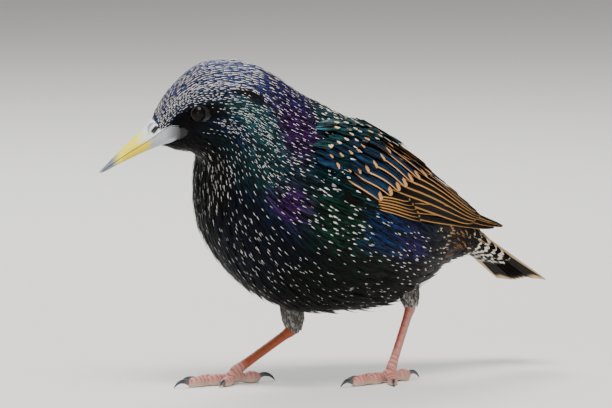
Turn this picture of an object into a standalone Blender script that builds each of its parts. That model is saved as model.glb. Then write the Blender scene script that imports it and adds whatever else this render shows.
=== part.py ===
"""A life-size common starling in winter plumage, standing in a walking stance.

The bird faces -X, its left side is towards -Y, and it stands on Z = 0. All sizes
below are in millimetres; mesh points are turned to metres at the very end.
"""

import math

import bmesh
import bpy
from mathutils import Vector
from mathutils.bvhtree import BVHTree

# Driving sizes
MM = 0.001
GAP = 0.3
ORIGIN_X = -4.33
ORIGIN_Y = 0.0

RING_POINTS = 32
RING_STEP = 4.2

# Body rings from tail to face. Each ring stands in the upright plane that faces its
# heading. Columns: place x, y; heading away from -X towards +Y in degrees; back line
# as (forward, height); belly line as (forward, height); half width; height of the
# widest point as a share of the ring.
BODY_RINGS = (
    (63.0, 0.0, 0.0, 0.0, 54.3, -1.0, 41.6, 9.2, 0.52),
    (57.0, 0.0, 0.0, 0.0, 59.4, 1.0, 39.0, 11.8, 0.54),
    (49.5, 0.0, 0.0, 0.0, 65.6, 2.5, 35.0, 15.0, 0.55),
    (40.0, 0.0, 0.0, 0.0, 71.2, 4.0, 29.8, 19.0, 0.56),
    (28.0, 0.0, 0.0, 0.0, 78.4, 6.0, 25.4, 24.4, 0.57),
    (14.0, 0.0, 0.0, 0.0, 86.6, 12.0, 24.4, 28.4, 0.57),
    (2.0, 0.0, 0.0, 0.0, 93.5, 17.5, 25.6, 30.0, 0.57),
    (-8.0, 0.0, 0.0, 0.0, 98.3, 25.0, 33.0, 30.0, 0.56),
    (-15.0, 0.0, 3.0, 0.0, 101.6, 30.0, 44.2, 27.8, 0.54),
    (-21.0, 0.0, 8.0, 0.0, 105.2, 31.0, 57.0, 24.4, 0.52),
    (-28.0, 1.0, 14.0, -0.5, 109.6, 25.0, 71.0, 20.8, 0.51),
    (-35.0, 3.0, 21.0, -1.0, 113.3, 17.0, 79.0, 17.6, 0.52),
    (-42.0, 6.0, 28.0, 0.0, 114.8, 12.0, 82.2, 14.8, 0.53),
    (-49.0, 10.0, 32.0, 1.0, 113.8, 10.0, 83.4, 11.9, 0.52),
    (-53.2, 12.6, 32.0, 3.0, 109.2, 8.0, 84.0, 8.6, 0.50),
    (-57.5, 15.3, 32.0, 4.4, 102.0, 5.4, 84.4, 6.0, 0.46),
    (-60.5, 17.2, 32.0, 4.6, 95.2, 1.8, 85.2, 4.2, 0.46),
)

# Planes that part the head, the neck and the torso: a point, then the direction that
# leads towards the face.
HEAD_CUT_POINT = (-41.0, 6.0, 93.5)
HEAD_CUT_TOWARDS = (-0.725, 0.400, 0.554)
NECK_CUT_POINT = (-33.0, 1.0, 85.0)
NECK_CUT_TOWARDS = (-0.685, 0.050, 0.728)

# Head frame: lengths run forward from its middle, heights from the floor.
HEAD_X = -49.0
HEAD_Y = 10.0
HEAD_YAW = 32.0

# Bill, base to tip in the head frame. The mouth line's columns are forward, height and
# half width; those of the culmen and the lower edge are forward and height.
MOUTH_LINE = (
    (6.6, 92.0, 10.2), (11.4, 92.3, 8.0), (14.6, 91.2, 6.2), (18.0, 88.6, 4.6),
    (22.0, 85.6, 3.2), (27.0, 82.5, 2.3), (32.0, 79.1, 1.5), (35.4, 76.7, 0.9), (36.9, 75.8, 0.35),
)
CULMEN = (
    (9.5, 96.0), (12.6, 96.6), (15.4, 96.4), (18.8, 94.0),
    (22.4, 90.4), (27.1, 85.8), (32.0, 81.0), (35.3, 77.6), (36.8, 76.2),
)
LOWER_EDGE = (
    (6.8, 87.2), (10.6, 86.4), (13.6, 85.6), (17.0, 84.4),
    (21.4, 82.6), (26.6, 80.2), (31.8, 77.7), (35.1, 76.0), (36.2, 75.6),
)
NOSTRIL_FORWARD = 18.6
NOSTRIL_HEIGHT = 90.7
NOSTRIL_OUT = 3.8
NOSTRIL_SIZE = (1.4, 0.7, 0.75)
# The nostril's long axis in the head frame, as forward and up.
NOSTRIL_SLOPE = (0.65, -0.76)
# How square the bill's section is: 1 is a plain oval, less is fuller.
BILL_FULLNESS = 0.85
LOWER_BILL_WIDTH = 0.94

# Eyes
EYE_RADIUS = 3.5
EYE_FORWARD = 3.2
EYE_HEIGHT = 97.0
EYE_DEPTH = 2.6
LID_RADIUS = 2.85
LID_THICKNESS = 0.42

# Wing sheet, from the wrist to the tip. Columns: x; top edge as (out, height); bottom
# edge as (out, height); how far the sheet bows outwards between them.
WING_SECTIONS = (
    (-24.0, 18.0, 90.0, 29.0, 66.0, 3.0),
    (-10.0, 17.5, 91.0, 31.0, 63.5, 5.0),
    (0.0, 14.5, 91.0, 31.5, 61.0, 6.5),
    (10.0, 11.0, 86.2, 30.3, 58.0, 7.5),
    (20.0, 7.6, 81.2, 28.0, 55.2, 8.0),
    (30.0, 5.2, 76.4, 24.6, 53.4, 7.0),
    (40.0, 4.2, 71.4, 21.0, 52.2, 5.0),
    (50.0, 4.6, 65.4, 17.4, 51.2, 3.0),
    (60.0, 6.2, 58.6, 14.0, 50.4, 1.5),
    (71.5, 8.8, 52.4, 10.6, 50.2, 0.3),
)
WING_REST_TOP = 0.5
WING_REST_SIDE = 1.0
# The feathered arm under the vanes: where it starts and ends, how much of the sheet its
# sides leave free, how much narrower its front is, and how it stands above and below
# the sheet.
ARM_FRONT = -23.0
ARM_REAR = 30.0
ARM_MARGIN = 0.03
ARM_TAPER_TOP = 0.30
ARM_TAPER_LOW = 0.22
ARM_LIFT = 1.5
ARM_DEPTH = 2.0
ARM_RINGS = 11
ARM_ACROSS = 8
VANE_THICKNESS = 0.74
VANE_TILT = 0.5
# A vane's outline, as shares of its half width and length: root width, where the full
# width starts, where the round tip starts, and the width at the tip.
VANE_ROOT = 0.55
VANE_FULL_FROM = 0.35
VANE_ROUND_FROM = 0.70
VANE_TIP = 0.22

# Feather tiers of the wing, from the deepest to the outermost. Each runs from its
# uppermost feather to its lowest one; places are (x, share across the sheet). Half
# widths are for the upper and the lower end. Lifts above the sheet are (root, tip), for
# the upper and the lower end. Steps are the rows along a vane.
PRIMARY_TIPS = ((61.5, 0.56), (64.5, 0.52), (67.5, 0.50), (70.5, 0.48), (71.5, 0.72))
FLIGHT_TIPS = (
    (40.0, 0.08), (47.5, 0.22), (54.5, 0.38), (59.0, 0.50), (58.0, 0.62), (55.5, 0.73), (52.0, 0.84),
)
PRIMARY_COVERT_TIPS = ((9.0, 0.80), (12.5, 0.85), (15.0, 0.90), (17.5, 0.95))
GREATER_COVERT_TIPS = (
    (33.0, 0.16), (31.0, 0.32), (27.0, 0.46), (21.0, 0.54),
    (14.5, 0.61), (9.0, 0.70), (3.5, 0.785), (-2.5, 0.865),
)
ALULA_TIPS = ((-3.0, 0.92),)
MEDIAN_COVERT_TIPS = ((11.0, 0.14), (6.5, 0.25), (2.0, 0.36), (-2.5, 0.46), (-7.0, 0.56), (-11.0, 0.67))
PRIMARY_STEPS = (0.0, 0.3, 0.6, 0.85, 0.95, 1.0)
FLIGHT_STEPS = (0.0, 0.35, 0.65, 0.88, 1.0)
COVERT_STEPS = (0.0, 0.5, 0.85, 1.0)
WING_TIERS = (
    {"roots": ((2.0, 0.86), (-8.0, 0.96)), "tips": PRIMARY_TIPS, "half": (2.4, 2.0),
     "lift": ((-0.2, -0.4), (0.05, -0.35)), "steps": PRIMARY_STEPS},
    {"roots": ((15.0, 0.12), (-6.0, 0.80)), "tips": FLIGHT_TIPS, "half": (3.6, 2.6),
     "lift": ((0.2, -0.1), (0.75, 0.15)), "steps": FLIGHT_STEPS},
    {"roots": ((-8.0, 0.84), (-4.0, 0.93)), "tips": PRIMARY_COVERT_TIPS, "half": (1.9, 1.7),
     "lift": ((0.5, 0.4), (1.15, 0.95)), "steps": COVERT_STEPS},
    {"roots": ((16.0, 0.05), (-17.0, 0.70)), "tips": GREATER_COVERT_TIPS, "half": (2.9, 2.4),
     "lift": ((0.8, 0.6), (1.35, 1.1)), "steps": COVERT_STEPS},
    {"roots": ((-18.0, 0.80), (-18.0, 0.80)), "tips": ALULA_TIPS, "half": (2.3, 2.3),
     "lift": ((0.7, 0.7), (1.5, 1.5)), "steps": COVERT_STEPS},
    {"roots": ((0.0, 0.12), (-21.0, 0.60)), "tips": MEDIAN_COVERT_TIPS, "half": (3.1, 2.6),
     "lift": ((1.2, 0.9), (2.0, 1.7)), "steps": COVERT_STEPS},
)

# Tail
TAIL_ROOT = (34.0, 0.0, 67.4)
TAIL_DROP = 32.0
TAIL_LENGTH = 66.0
TAIL_PER_SIDE = 6
TAIL_STEP = 0.46
TAIL_VANE = 0.52
TAIL_TIP_REACH = 6.6
TAIL_ROOT_REACH = 5.0
TAIL_SPREAD = 1.35
TAIL_MIDLINE = 0.25
TAIL_NOTCH = 2.4
TAIL_FEATHER_WIDTH = 8.0
# The outermost feathers are shorter, and each tip is drawn in from its outer and its
# inner side.
TAIL_LAST_SHORTER = 1.2
TAIL_TIP_OUTER = 1.6
TAIL_TIP_INNER = 0.8
# Share of a tail feather's full depth in the stack that it has at its root.
TAIL_ROOT_STACK = 0.45
TAIL_STEPS = (0.12, 0.45, 0.75, 0.93, 1.0)
# The wedge of coverts at the tail's root: share of the tail's length, half width, reach
# above and below the feathers.
TAIL_COVERTS = (
    (0.0, 4.6, 1.4, 4.0), (0.3, 7.0, 1.3, 6.0), (0.52, 8.4, 1.0, 6.4),
    (0.64, 7.2, 0.3, 4.4), (0.70, 5.6, 0.1, 2.6),
)

# Legs: knee, heel, foot joint, heading of the middle toe and thigh radii from the knee
# down, for each side.
LEGS = {
    "left": {"knee": (25.5, -10.0, 42.0), "heel": (28.2, -10.6, 25.4), "ankle": (12.8, -18.0, 4.4),
             "heading": -11.0, "thigh": (5.0, 4.4, 3.5, 2.5)},
    "right": {"knee": (-10.5, 10.0, 40.0), "heel": (-7.2, 11.2, 18.0), "ankle": (-32.8, 12.6, 4.4),
              "heading": -1.0, "thigh": (5.0, 4.7, 4.1, 3.1)},
}
THIGH_SHARES = (0.0, 0.42, 0.85, 1.08)
TARSUS_DEPTH = 1.6
TARSUS_WIDTH = 1.25
# The tarsus from the heel to the foot joint: share of its length, size.
TARSUS_PROFILE = (
    (-0.055, 0.55), (-0.03, 1.0), (0.0, 1.25), (0.05, 1.22), (0.12, 1.0),
    (0.5, 0.95), (0.86, 1.0), (0.95, 1.15), (1.0, 1.22),
)
# The two ends, above this size, are wider still by this much.
TARSUS_SWELLS_ABOVE = 1.1
TARSUS_EXTRA_WIDTH = 0.25
# The foot joint: share of the way down, half width, half depth; then where it ends
# behind the ankle and above the floor.
JOINT_SECTIONS = ((0.0, 1.5, 1.75), (0.45, 1.8, 1.95), (1.0, 1.75, 1.7))
JOINT_BACK = 0.6
JOINT_END = 1.4
# Toes: turn from the middle toe, towards the outer side; length; root radius; tip radius.
TOES = {
    "middle": (0.0, 22.0, 1.60, 1.20),
    "inner": (-31.0, 12.5, 1.45, 1.10),
    "outer": (42.0, 14.5, 1.40, 1.05),
    "hind": (184.0, 10.5, 1.55, 1.25),
}
TOE_STEPS = 6
# A toe's middle lies a little less than its radius above the floor, and rises to the
# joint over the given share of its length.
TOE_REST = 0.88
TOE_RISE = 0.9
TOE_RISE_END = 1 / 2.6
TOE_KNUCKLE = 0.11
CLAW_LENGTH = {"middle": 6.6, "inner": 5.0, "outer": 4.8, "hind": 7.4}
CLAW_RADIUS = 0.85
CLAW_TIP = 0.12
CLAW_TAPER = 0.75
CLAW_SQUASH = 0.8
CLAW_STEPS = 6
# The way a claw points below the level at its root, and how far it turns down after.
CLAW_START = -16.0
CLAW_TURN = 74.0
CLAW_CLEARANCE = 0.05

COLOURS = {
    "plumage": (0.016, 0.018, 0.024), "bill": (0.72, 0.62, 0.30), "eye": (0.010, 0.008, 0.007),
    "wing": (0.030, 0.024, 0.022), "tail": (0.035, 0.028, 0.024), "skin": (0.55, 0.24, 0.17),
    "claw": (0.045, 0.045, 0.055), "thigh": (0.20, 0.19, 0.18),
}
ROUGHNESS = {"plumage": 0.45, "bill": 0.35, "eye": 0.05, "wing": 0.5, "tail": 0.5,
             "skin": 0.5, "claw": 0.3, "thigh": 0.8}


# Curves
def smooth(rows, places):
    """Read a smooth curve through rows, whose first column is the place along it."""
    result = []
    last = len(rows) - 1

    def slope(i, c):
        lo = rows[max(i - 1, 0)]
        hi = rows[min(i + 1, last)]
        return (hi[c] - lo[c]) / (hi[0] - lo[0])

    for place in places:
        i = 0
        while i < last - 1 and place > rows[i + 1][0]:
            i += 1
        low = rows[i]
        high = rows[i + 1]
        span = high[0] - low[0]
        s = min(max((place - low[0]) / span, 0.0), 1.0)
        values = []
        for c in range(1, len(low)):
            values.append(
                (2 * s ** 3 - 3 * s ** 2 + 1) * low[c]
                + (s ** 3 - 2 * s ** 2 + s) * span * slope(i, c)
                + (3 * s ** 2 - 2 * s ** 3) * high[c]
                + (s ** 3 - s ** 2) * span * slope(i + 1, c)
            )
        result.append(values)
    return result


def heading_vectors(yaw):
    """Forward and left for a heading away from -X towards +Y."""
    turn = math.radians(yaw)
    forward = Vector((-math.cos(turn), math.sin(turn), 0.0))
    left = Vector((-math.sin(turn), -math.cos(turn), 0.0))
    return forward, left


def head_point(forward, height, left):
    ahead, side = heading_vectors(HEAD_YAW)
    return Vector((HEAD_X, HEAD_Y, height)) + ahead * forward + side * left


# Mesh helpers
def new_object(name, points, faces):
    mesh = bpy.data.meshes.new(name)
    mesh.from_pydata([tuple(p) for p in points], [], faces)
    shape = bmesh.new()
    shape.from_mesh(mesh)
    bmesh.ops.recalc_face_normals(shape, faces=shape.faces[:])
    shape.to_mesh(mesh)
    shape.free()
    item = bpy.data.objects.new(name, mesh)
    bpy.context.scene.collection.objects.link(item)
    return item


def tube(rings):
    """Skin a closed body over rings of equal point counts, with flat ends."""
    count = len(rings[0])
    points = [p for ring in rings for p in ring]
    faces = []
    for i in range(len(rings) - 1):
        for j in range(count):
            a = i * count + j
            b = i * count + (j + 1) % count
            faces.append((a, b, b + count, a + count))
    faces.append(tuple(reversed(range(count))))
    faces.append(tuple(range(len(points) - count, len(points))))
    return points, faces


def oval_ring(centre, across, up, half_across, half_up, count):
    ring = []
    for j in range(count):
        turn = 2 * math.pi * j / count
        ring.append(centre + across * (half_across * math.sin(turn)) + up * (half_up * math.cos(turn)))
    return ring


def ball(centre, radius, rings, count, axis=Vector((0, 0, 1))):
    """A round body of rings about an axis, its two poles closed with small flats."""
    pole = 0.06
    across = axis.orthogonal().normalized()
    up = axis.cross(across).normalized()
    layers = []
    for i in range(rings + 1):
        turn = math.pi * (pole + (1 - 2 * pole) * i / rings)
        middle = centre + axis * (radius * math.cos(turn))
        reach = radius * math.sin(turn)
        layers.append(oval_ring(middle, across, up, reach, reach, count))
    return tube(layers)


def evaluated(item):
    graph = bpy.context.evaluated_depsgraph_get()
    return bpy.data.meshes.new_from_object(item.evaluated_get(graph))


def combine(base, others, operation, solver="EXACT"):
    """Join or cut base with the other objects, apply the result and remove them."""
    group = bpy.data.collections.new("pieces")
    bpy.context.scene.collection.children.link(group)
    for other in others:
        bpy.context.scene.collection.objects.unlink(other)
        group.objects.link(other)
    step = base.modifiers.new(operation.title(), "BOOLEAN")
    step.operand_type = "COLLECTION"
    step.collection = group
    step.operation = operation
    step.solver = solver
    mesh = evaluated(base)
    base.modifiers.clear()
    base.data = mesh
    for other in others:
        bpy.data.objects.remove(other, do_unlink=True)
    bpy.data.collections.remove(group)
    keep_largest(base)


def keep_largest(item):
    """Keep only the largest closed surface of an object."""
    shape = bmesh.new()
    shape.from_mesh(item.data)
    left = set(shape.faces)
    islands = []
    while left:
        island = []
        stack = [left.pop()]
        while stack:
            face = stack.pop()
            island.append(face)
            for edge in face.edges:
                for other in edge.link_faces:
                    if other in left:
                        left.remove(other)
                        stack.append(other)
        islands.append(island)
    islands.sort(key=lambda island: -sum(face.calc_area() for face in island))
    for island in islands[1:]:
        bmesh.ops.delete(shape, geom=island, context="FACES")
    loose = [v for v in shape.verts if not v.link_faces]
    bmesh.ops.delete(shape, geom=loose, context="VERTS")
    shape.to_mesh(item.data)
    shape.free()


def slice_off(item, point, towards):
    """Remove what lies on the side of a plane that its direction points to."""
    shape = bmesh.new()
    shape.from_mesh(item.data)
    geom = shape.verts[:] + shape.edges[:] + shape.faces[:]
    bmesh.ops.bisect_plane(shape, geom=geom, plane_co=point, plane_no=towards,
                           clear_outer=True, dist=1e-5)
    open_edges = [edge for edge in shape.edges if len(edge.link_faces) == 1]
    bmesh.ops.holes_fill(shape, edges=open_edges, sides=0)
    bmesh.ops.recalc_face_normals(shape, faces=shape.faces[:])
    shape.to_mesh(item.data)
    shape.free()


def finish(item, name, look):
    """Give an object its name and material, and turn its millimetres into metres."""
    item.name = name
    item.data.name = name
    for vertex in item.data.vertices:
        vertex.co = Vector((vertex.co.x + ORIGIN_X, vertex.co.y + ORIGIN_Y, vertex.co.z)) * MM
    material = bpy.data.materials.get(look) or bpy.data.materials.new(look)
    material.use_nodes = True
    surface = material.node_tree.nodes["Principled BSDF"]
    surface.inputs["Base Color"].default_value = (*COLOURS[look], 1.0)
    surface.inputs["Roughness"].default_value = ROUGHNESS[look]
    item.data.materials.clear()
    item.data.materials.append(material)
    item.data.shade_smooth()
    item.data.set_sharp_from_angle(angle=math.radians(35))


# Body
def body_stations():
    """Turn the ring table into rows of top, bottom, heading, half width and widest share."""
    rows = []
    travelled = 0.0
    previous = None
    for x, y, yaw, top_f, top_z, low_f, low_z, half, widest in BODY_RINGS:
        forward, _ = heading_vectors(yaw)
        top = Vector((x, y, top_z)) + forward * top_f
        low = Vector((x, y, low_z)) + forward * low_f
        middle = (top + low) / 2
        if previous is not None:
            travelled += (middle - previous).length
        previous = middle
        rows.append((travelled, *top, *low, yaw, half, widest))
    return rows


def body_rings(swell):
    """Rings along the body, each pushed out by swell."""
    rows = body_stations()
    length = rows[-1][0]
    steps = round(length / RING_STEP)
    rings = []
    for values in smooth(rows, [length * i / steps for i in range(steps + 1)]):
        top = Vector(values[0:3])
        low = Vector(values[3:6])
        yaw, half, widest = values[6:9]
        rise = (top - low).normalized()
        top = top + rise * swell
        low = low - rise * swell
        half += swell
        middle = low.lerp(top, widest)
        _, left = heading_vectors(yaw)
        ring = []
        for j in range(RING_POINTS):
            turn = 2 * math.pi * j / RING_POINTS
            height = math.cos(turn)
            reach = (top - middle) * height if height > 0 else (middle - low) * height
            ring.append(middle + left * (half * math.sin(turn)) + reach)
        rings.append(ring)
    if swell:
        for ring, inner in ((rings[0], rings[1]), (rings[-1], rings[-2])):
            outward = (sum(ring, Vector()) - sum(inner, Vector())).normalized()
            for point in ring:
                point += outward * swell
    return rings


def body_object(name, swell):
    return new_object(name, *tube(body_rings(swell)))


def eye_centre(side):
    """The middle of an eye, set into the side of the head by its depth."""
    _, left = heading_vectors(HEAD_YAW)
    tree = surface_tree(0.0)
    beside = head_point(EYE_FORWARD, EYE_HEIGHT, 40.0 * side)
    skin, _, _, _ = tree.ray_cast(beside, left * -side)
    return skin - left * (side * EYE_DEPTH)


def make_body():
    middle = Vector(HEAD_CUT_POINT)
    face_way = Vector(HEAD_CUT_TOWARDS).normalized()
    shoulder = Vector(NECK_CUT_POINT)
    neck_way = Vector(NECK_CUT_TOWARDS).normalized()

    torso = body_object("torso", 0.0)
    slice_off(torso, shoulder - neck_way * GAP / 2, neck_way)

    neck = body_object("neck", 0.0)
    slice_off(neck, shoulder + neck_way * GAP / 2, -neck_way)
    slice_off(neck, middle - face_way * GAP / 2, face_way)

    head = body_object("head", 0.0)
    slice_off(head, middle + face_way * GAP / 2, -face_way)
    _, left = heading_vectors(HEAD_YAW)
    lids = []
    sockets = []
    for side in (1, -1):
        eye = eye_centre(side)
        reach = EYE_RADIUS + GAP + LID_THICKNESS
        out = math.sqrt(reach ** 2 - LID_RADIUS ** 2)
        lids.append(lid(eye + left * (side * out), left * side))
        sockets.append(new_object("socket", *ball(eye, EYE_RADIUS + GAP, 9, 16, left)))
    combine(head, lids, "UNION")
    combine(head, sockets, "DIFFERENCE")
    finish(head, "head", "plumage")
    finish(neck, "neck", "plumage")
    finish(torso, "torso", "plumage")


def lid(centre, axis):
    """A round lid edge about the eye."""
    across = axis.orthogonal().normalized()
    up = axis.cross(across)
    count = 18
    section = 6
    points = []
    faces = []
    for i in range(count):
        turn = 2 * math.pi * i / count
        out = across * math.cos(turn) + up * math.sin(turn)
        for j in range(section):
            lift = 2 * math.pi * j / section
            points.append(centre + out * (LID_RADIUS + LID_THICKNESS * math.cos(lift))
                          + axis * (LID_THICKNESS * math.sin(lift)))
            a = i * section + j
            b = i * section + (j + 1) % section
            c = ((i + 1) % count) * section + (j + 1) % section
            d = ((i + 1) % count) * section + j
            faces.append((a, b, c, d))
    return new_object("lid", points, faces)


def make_eyes():
    _, left = heading_vectors(HEAD_YAW)
    for name, side in (("eye_left", 1), ("eye_right", -1)):
        eye = eye_centre(side)
        finish(new_object(name, *ball(eye, EYE_RADIUS, 9, 16, left)), name, "eye")


# Bill
def bill_half(edge_line, lift, shrink):
    """Rings from the gape to the tip between the mouth line and an outer edge line."""
    count = 12
    rings = []
    for (mouth_f, mouth_z, half), (edge_f, edge_z) in zip(MOUTH_LINE, edge_line):
        ring = []
        base = Vector((mouth_f, mouth_z + lift))
        edge = Vector((edge_f, edge_z))
        for j in range(count + 1):
            turn = math.pi * j / count
            place = base.lerp(edge, math.sin(turn) ** BILL_FULLNESS)
            ring.append(head_point(place.x, place.y, half * shrink * math.cos(turn)))
        rings.append(ring)
    return tube(rings)


def make_bill():
    upper = new_object("bill_upper", *bill_half(CULMEN, GAP / 2, 1.0))
    combine(upper, [body_object("face", GAP)], "DIFFERENCE")
    forward, left = heading_vectors(HEAD_YAW)
    pits = []
    for side in (1, -1):
        long, tall, deep = NOSTRIL_SIZE
        centre = head_point(NOSTRIL_FORWARD, NOSTRIL_HEIGHT, NOSTRIL_OUT * side)
        points, faces = ball(Vector(), 1.0, 6, 12)
        ahead, rise = NOSTRIL_SLOPE
        slope = (forward * ahead + Vector((0, 0, rise))).normalized()
        upright = left.cross(slope)
        placed = [centre + slope * (p.x * long) + upright * (p.y * tall) + left * (p.z * deep)
                  for p in points]
        pits.append(new_object("nostril", placed, faces))
    combine(upper, pits, "DIFFERENCE")
    finish(upper, "bill_upper", "bill")
    lower = new_object("bill_lower", *bill_half(LOWER_EDGE, -GAP / 2, LOWER_BILL_WIDTH))
    combine(lower, [body_object("face", GAP)], "DIFFERENCE")
    finish(lower, "bill_lower", "bill")


# Wings
def surface_tree(swell):
    """The body's surface, pushed out by swell, ready for nearest-point questions."""
    item = body_object("surface", swell)
    shape = bmesh.new()
    shape.from_mesh(item.data)
    tree = BVHTree.FromBMesh(shape)
    shape.free()
    bpy.data.objects.remove(item, do_unlink=True)
    return tree


def wing_curve(side, x, v):
    """A point of the bowed wing sheet and the way it faces, before the body pushes it out."""
    top_out, top_z, low_out, low_z, bow = smooth(WING_SECTIONS, [x])[0]
    top = Vector((x, top_out, top_z))
    low = Vector((x, low_out, low_z))
    edge = (low - top).normalized()
    outward = Vector((0, -edge.z, edge.y))
    middle = (top + low) / 2 + outward * (2 * bow)
    place = top * (1 - v) ** 2 + middle * (2 * v * (1 - v)) + low * v ** 2
    down = ((middle - top) * (1 - v) + (low - middle) * v).normalized()
    face = Vector((0, -down.z, down.y))
    place.y *= side
    face.y *= side
    return place, face


def wing_frame(tree, side, x, v):
    """A point of the wing sheet, with its outward and its downward direction there."""
    place, face = wing_curve(side, x, v)
    ahead, _ = wing_curve(side, x + 1.0, v)
    behind, _ = wing_curve(side, x - 1.0, v)
    along = (ahead - behind).normalized()
    face = (face - along * face.dot(along)).normalized()
    rest = WING_REST_TOP + (WING_REST_SIDE - WING_REST_TOP) * min(1.0, 3 * v)
    near, normal, _, _ = tree.find_nearest(place)
    if (place - near).dot(normal) < rest:
        place = near + normal * rest
    down = along.cross(face) * -side
    return place, face, down


def wing_arm(tree, side):
    """The feathered arm: a shell over the flank, thin in front and under the flight feathers."""
    rings = []
    for i in range(ARM_RINGS + 1):
        share = i / ARM_RINGS
        x = ARM_FRONT + (ARM_REAR - ARM_FRONT) * share
        fade = max(0.0, 1 - share * 3) ** 2
        high = ARM_MARGIN + ARM_TAPER_TOP * fade
        low = 1 - ARM_MARGIN - ARM_TAPER_LOW * fade
        lift = ARM_LIFT * math.sin(math.pi * min(1.0, 0.12 + 1.1 * share)) ** 0.8 - 0.5 * share
        outer = []
        inner = []
        for j in range(ARM_ACROSS + 1):
            v = high + (low - high) * j / ARM_ACROSS
            place, face, _ = wing_frame(tree, side, x, v)
            edge = math.sin(math.pi * (0.12 + 0.76 * j / ARM_ACROSS))
            outer.append(place + face * (lift * edge))
            inner.append(place - face * ARM_DEPTH)
        rings.append(outer + inner[::-1])
    points, faces = tube(rings)
    around = len(rings[0])
    behind = len(points) - around
    faces = faces[:-2]
    for j in range(ARM_ACROSS):
        faces.append((j, around - 1 - j, around - 2 - j, j + 1))
        faces.append((behind + j, behind + j + 1, behind + around - 2 - j, behind + around - 1 - j))
    return new_object("arm", points, faces)


def vane(frames, halves, lifts, tilt, thickness):
    """A feather vane over frames (point, outward, across): closed, split alike on both faces."""
    upper = []
    lower = []
    for (place, face, down), half, lift in zip(frames, halves, lifts):
        for share in (-1.0, 1.0):
            middle = place + down * (half * share) + face * (lift + tilt * share)
            upper.append(middle + face * (thickness / 2))
            lower.append(middle - face * (thickness / 2))
    base = len(upper)
    faces = []
    rows = len(frames)
    for i in range(rows - 1):
        a = 2 * i
        faces.append((a, a + 1, a + 3))
        faces.append((a, a + 3, a + 2))
        faces.append((base + a, base + a + 3, base + a + 1))
        faces.append((base + a, base + a + 2, base + a + 3))
        for b, c in ((a, a + 2), (a + 3, a + 1)):
            faces.append((b, c, base + c))
            faces.append((b, base + c, base + b))
    for a in (0, 2 * rows - 2):
        faces.append((a, base + a, base + a + 1))
        faces.append((a, base + a + 1, a + 1))
    return new_object("vane", upper + lower, faces)


def vane_width(share):
    """Half width of a vane along its length: narrow root, long even middle, round tip."""
    root = VANE_ROOT + (1 - VANE_ROOT) * min(1.0, share / VANE_FULL_FROM)
    if share <= VANE_ROUND_FROM:
        return root
    along = (share - VANE_ROUND_FROM) / (1.01 - VANE_ROUND_FROM)
    return max(VANE_TIP, math.sqrt(max(0.0, 1 - along ** 2)))


def wing_vanes(tree, side):
    pieces = []
    for tier in WING_TIERS:
        tips = tier["tips"]
        (high_x, high_v), (low_x, low_v) = tier["roots"]
        for k, (tip_x, tip_v) in enumerate(tips):
            share = k / max(1, len(tips) - 1)
            root_x = high_x + (low_x - high_x) * share
            root_v = high_v + (low_v - high_v) * share
            half = tier["half"][0] + (tier["half"][1] - tier["half"][0]) * share
            (root_high, root_low), (tip_high, tip_low) = tier["lift"]
            root_lift = root_high + (root_low - root_high) * share
            tip_lift = tip_high + (tip_low - tip_high) * share
            steps = tier["steps"]
            frames = [wing_frame(tree, side, root_x + (tip_x - root_x) * s, root_v + (tip_v - root_v) * s)
                      for s in steps]
            halves = [half * vane_width(s) for s in steps]
            lifts = [root_lift + (tip_lift - root_lift) * s for s in steps]
            pieces.append(vane(frames, halves, lifts, VANE_TILT, VANE_THICKNESS))
    return pieces


def make_wings():
    tree = surface_tree(GAP)
    for name, side in (("wing_left", -1), ("wing_right", 1)):
        wing = wing_arm(tree, side)
        combine(wing, wing_vanes(tree, side), "UNION", "MANIFOLD")
        combine(wing, [body_object("side", GAP)], "DIFFERENCE", "MANIFOLD")
        finish(wing, name, "wing")


# Tail
def tail_directions():
    drop = math.radians(TAIL_DROP)
    along = Vector((math.cos(drop), 0.0, -math.sin(drop)))
    rise = Vector((math.sin(drop), 0.0, math.cos(drop)))
    return along, rise


def tail_root():
    """The tail's covered root: a wedge that all its feathers grow from."""
    along, rise = tail_directions()
    rings = []
    for share, half, high, low in TAIL_COVERTS:
        centre = Vector(TAIL_ROOT) + along * (TAIL_LENGTH * share)
        ring = []
        for j in range(12):
            turn = 2 * math.pi * j / 12
            reach = high if math.cos(turn) > 0 else low
            ring.append(centre + Vector((0, half * math.sin(turn), 0)) + rise * (reach * math.cos(turn)))
        rings.append(ring)
    return new_object("root", *tube(rings))


def make_tail():
    along, rise = tail_directions()
    pieces = []
    for k in range(TAIL_PER_SIDE):
        last = k == TAIL_PER_SIDE - 1
        length = TAIL_LENGTH - TAIL_NOTCH * (1 - k / (TAIL_PER_SIDE - 2))
        if last:
            length -= TAIL_LAST_SHORTER
        for side in (-1, 1):
            frames = []
            halves = []
            for s in TAIL_STEPS:
                reach = TAIL_ROOT_REACH + (TAIL_TIP_REACH - TAIL_ROOT_REACH) * s + TAIL_SPREAD * k * s
                outer = reach if s < 1.0 else reach - TAIL_TIP_OUTER
                inner = max(TAIL_MIDLINE, outer - TAIL_FEATHER_WIDTH)
                if s == 1.0:
                    inner = inner + TAIL_TIP_INNER
                depth = TAIL_STEP * k * (TAIL_ROOT_STACK + (1 - TAIL_ROOT_STACK) * s)
                place = Vector(TAIL_ROOT) + along * (length * s) - rise * depth
                place.y += side * (inner + outer) / 2
                frames.append((place, rise, Vector((0, side, 0))))
                halves.append((outer - inner) / 2)
            pieces.append(vane(frames, halves, [0.0] * len(TAIL_STEPS), 0.0, TAIL_VANE))
    tail = tail_root()
    combine(tail, pieces, "UNION", "MANIFOLD")
    combine(tail, [body_object("rump", GAP)], "DIFFERENCE", "MANIFOLD")
    finish(tail, "tail", "tail")


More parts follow.
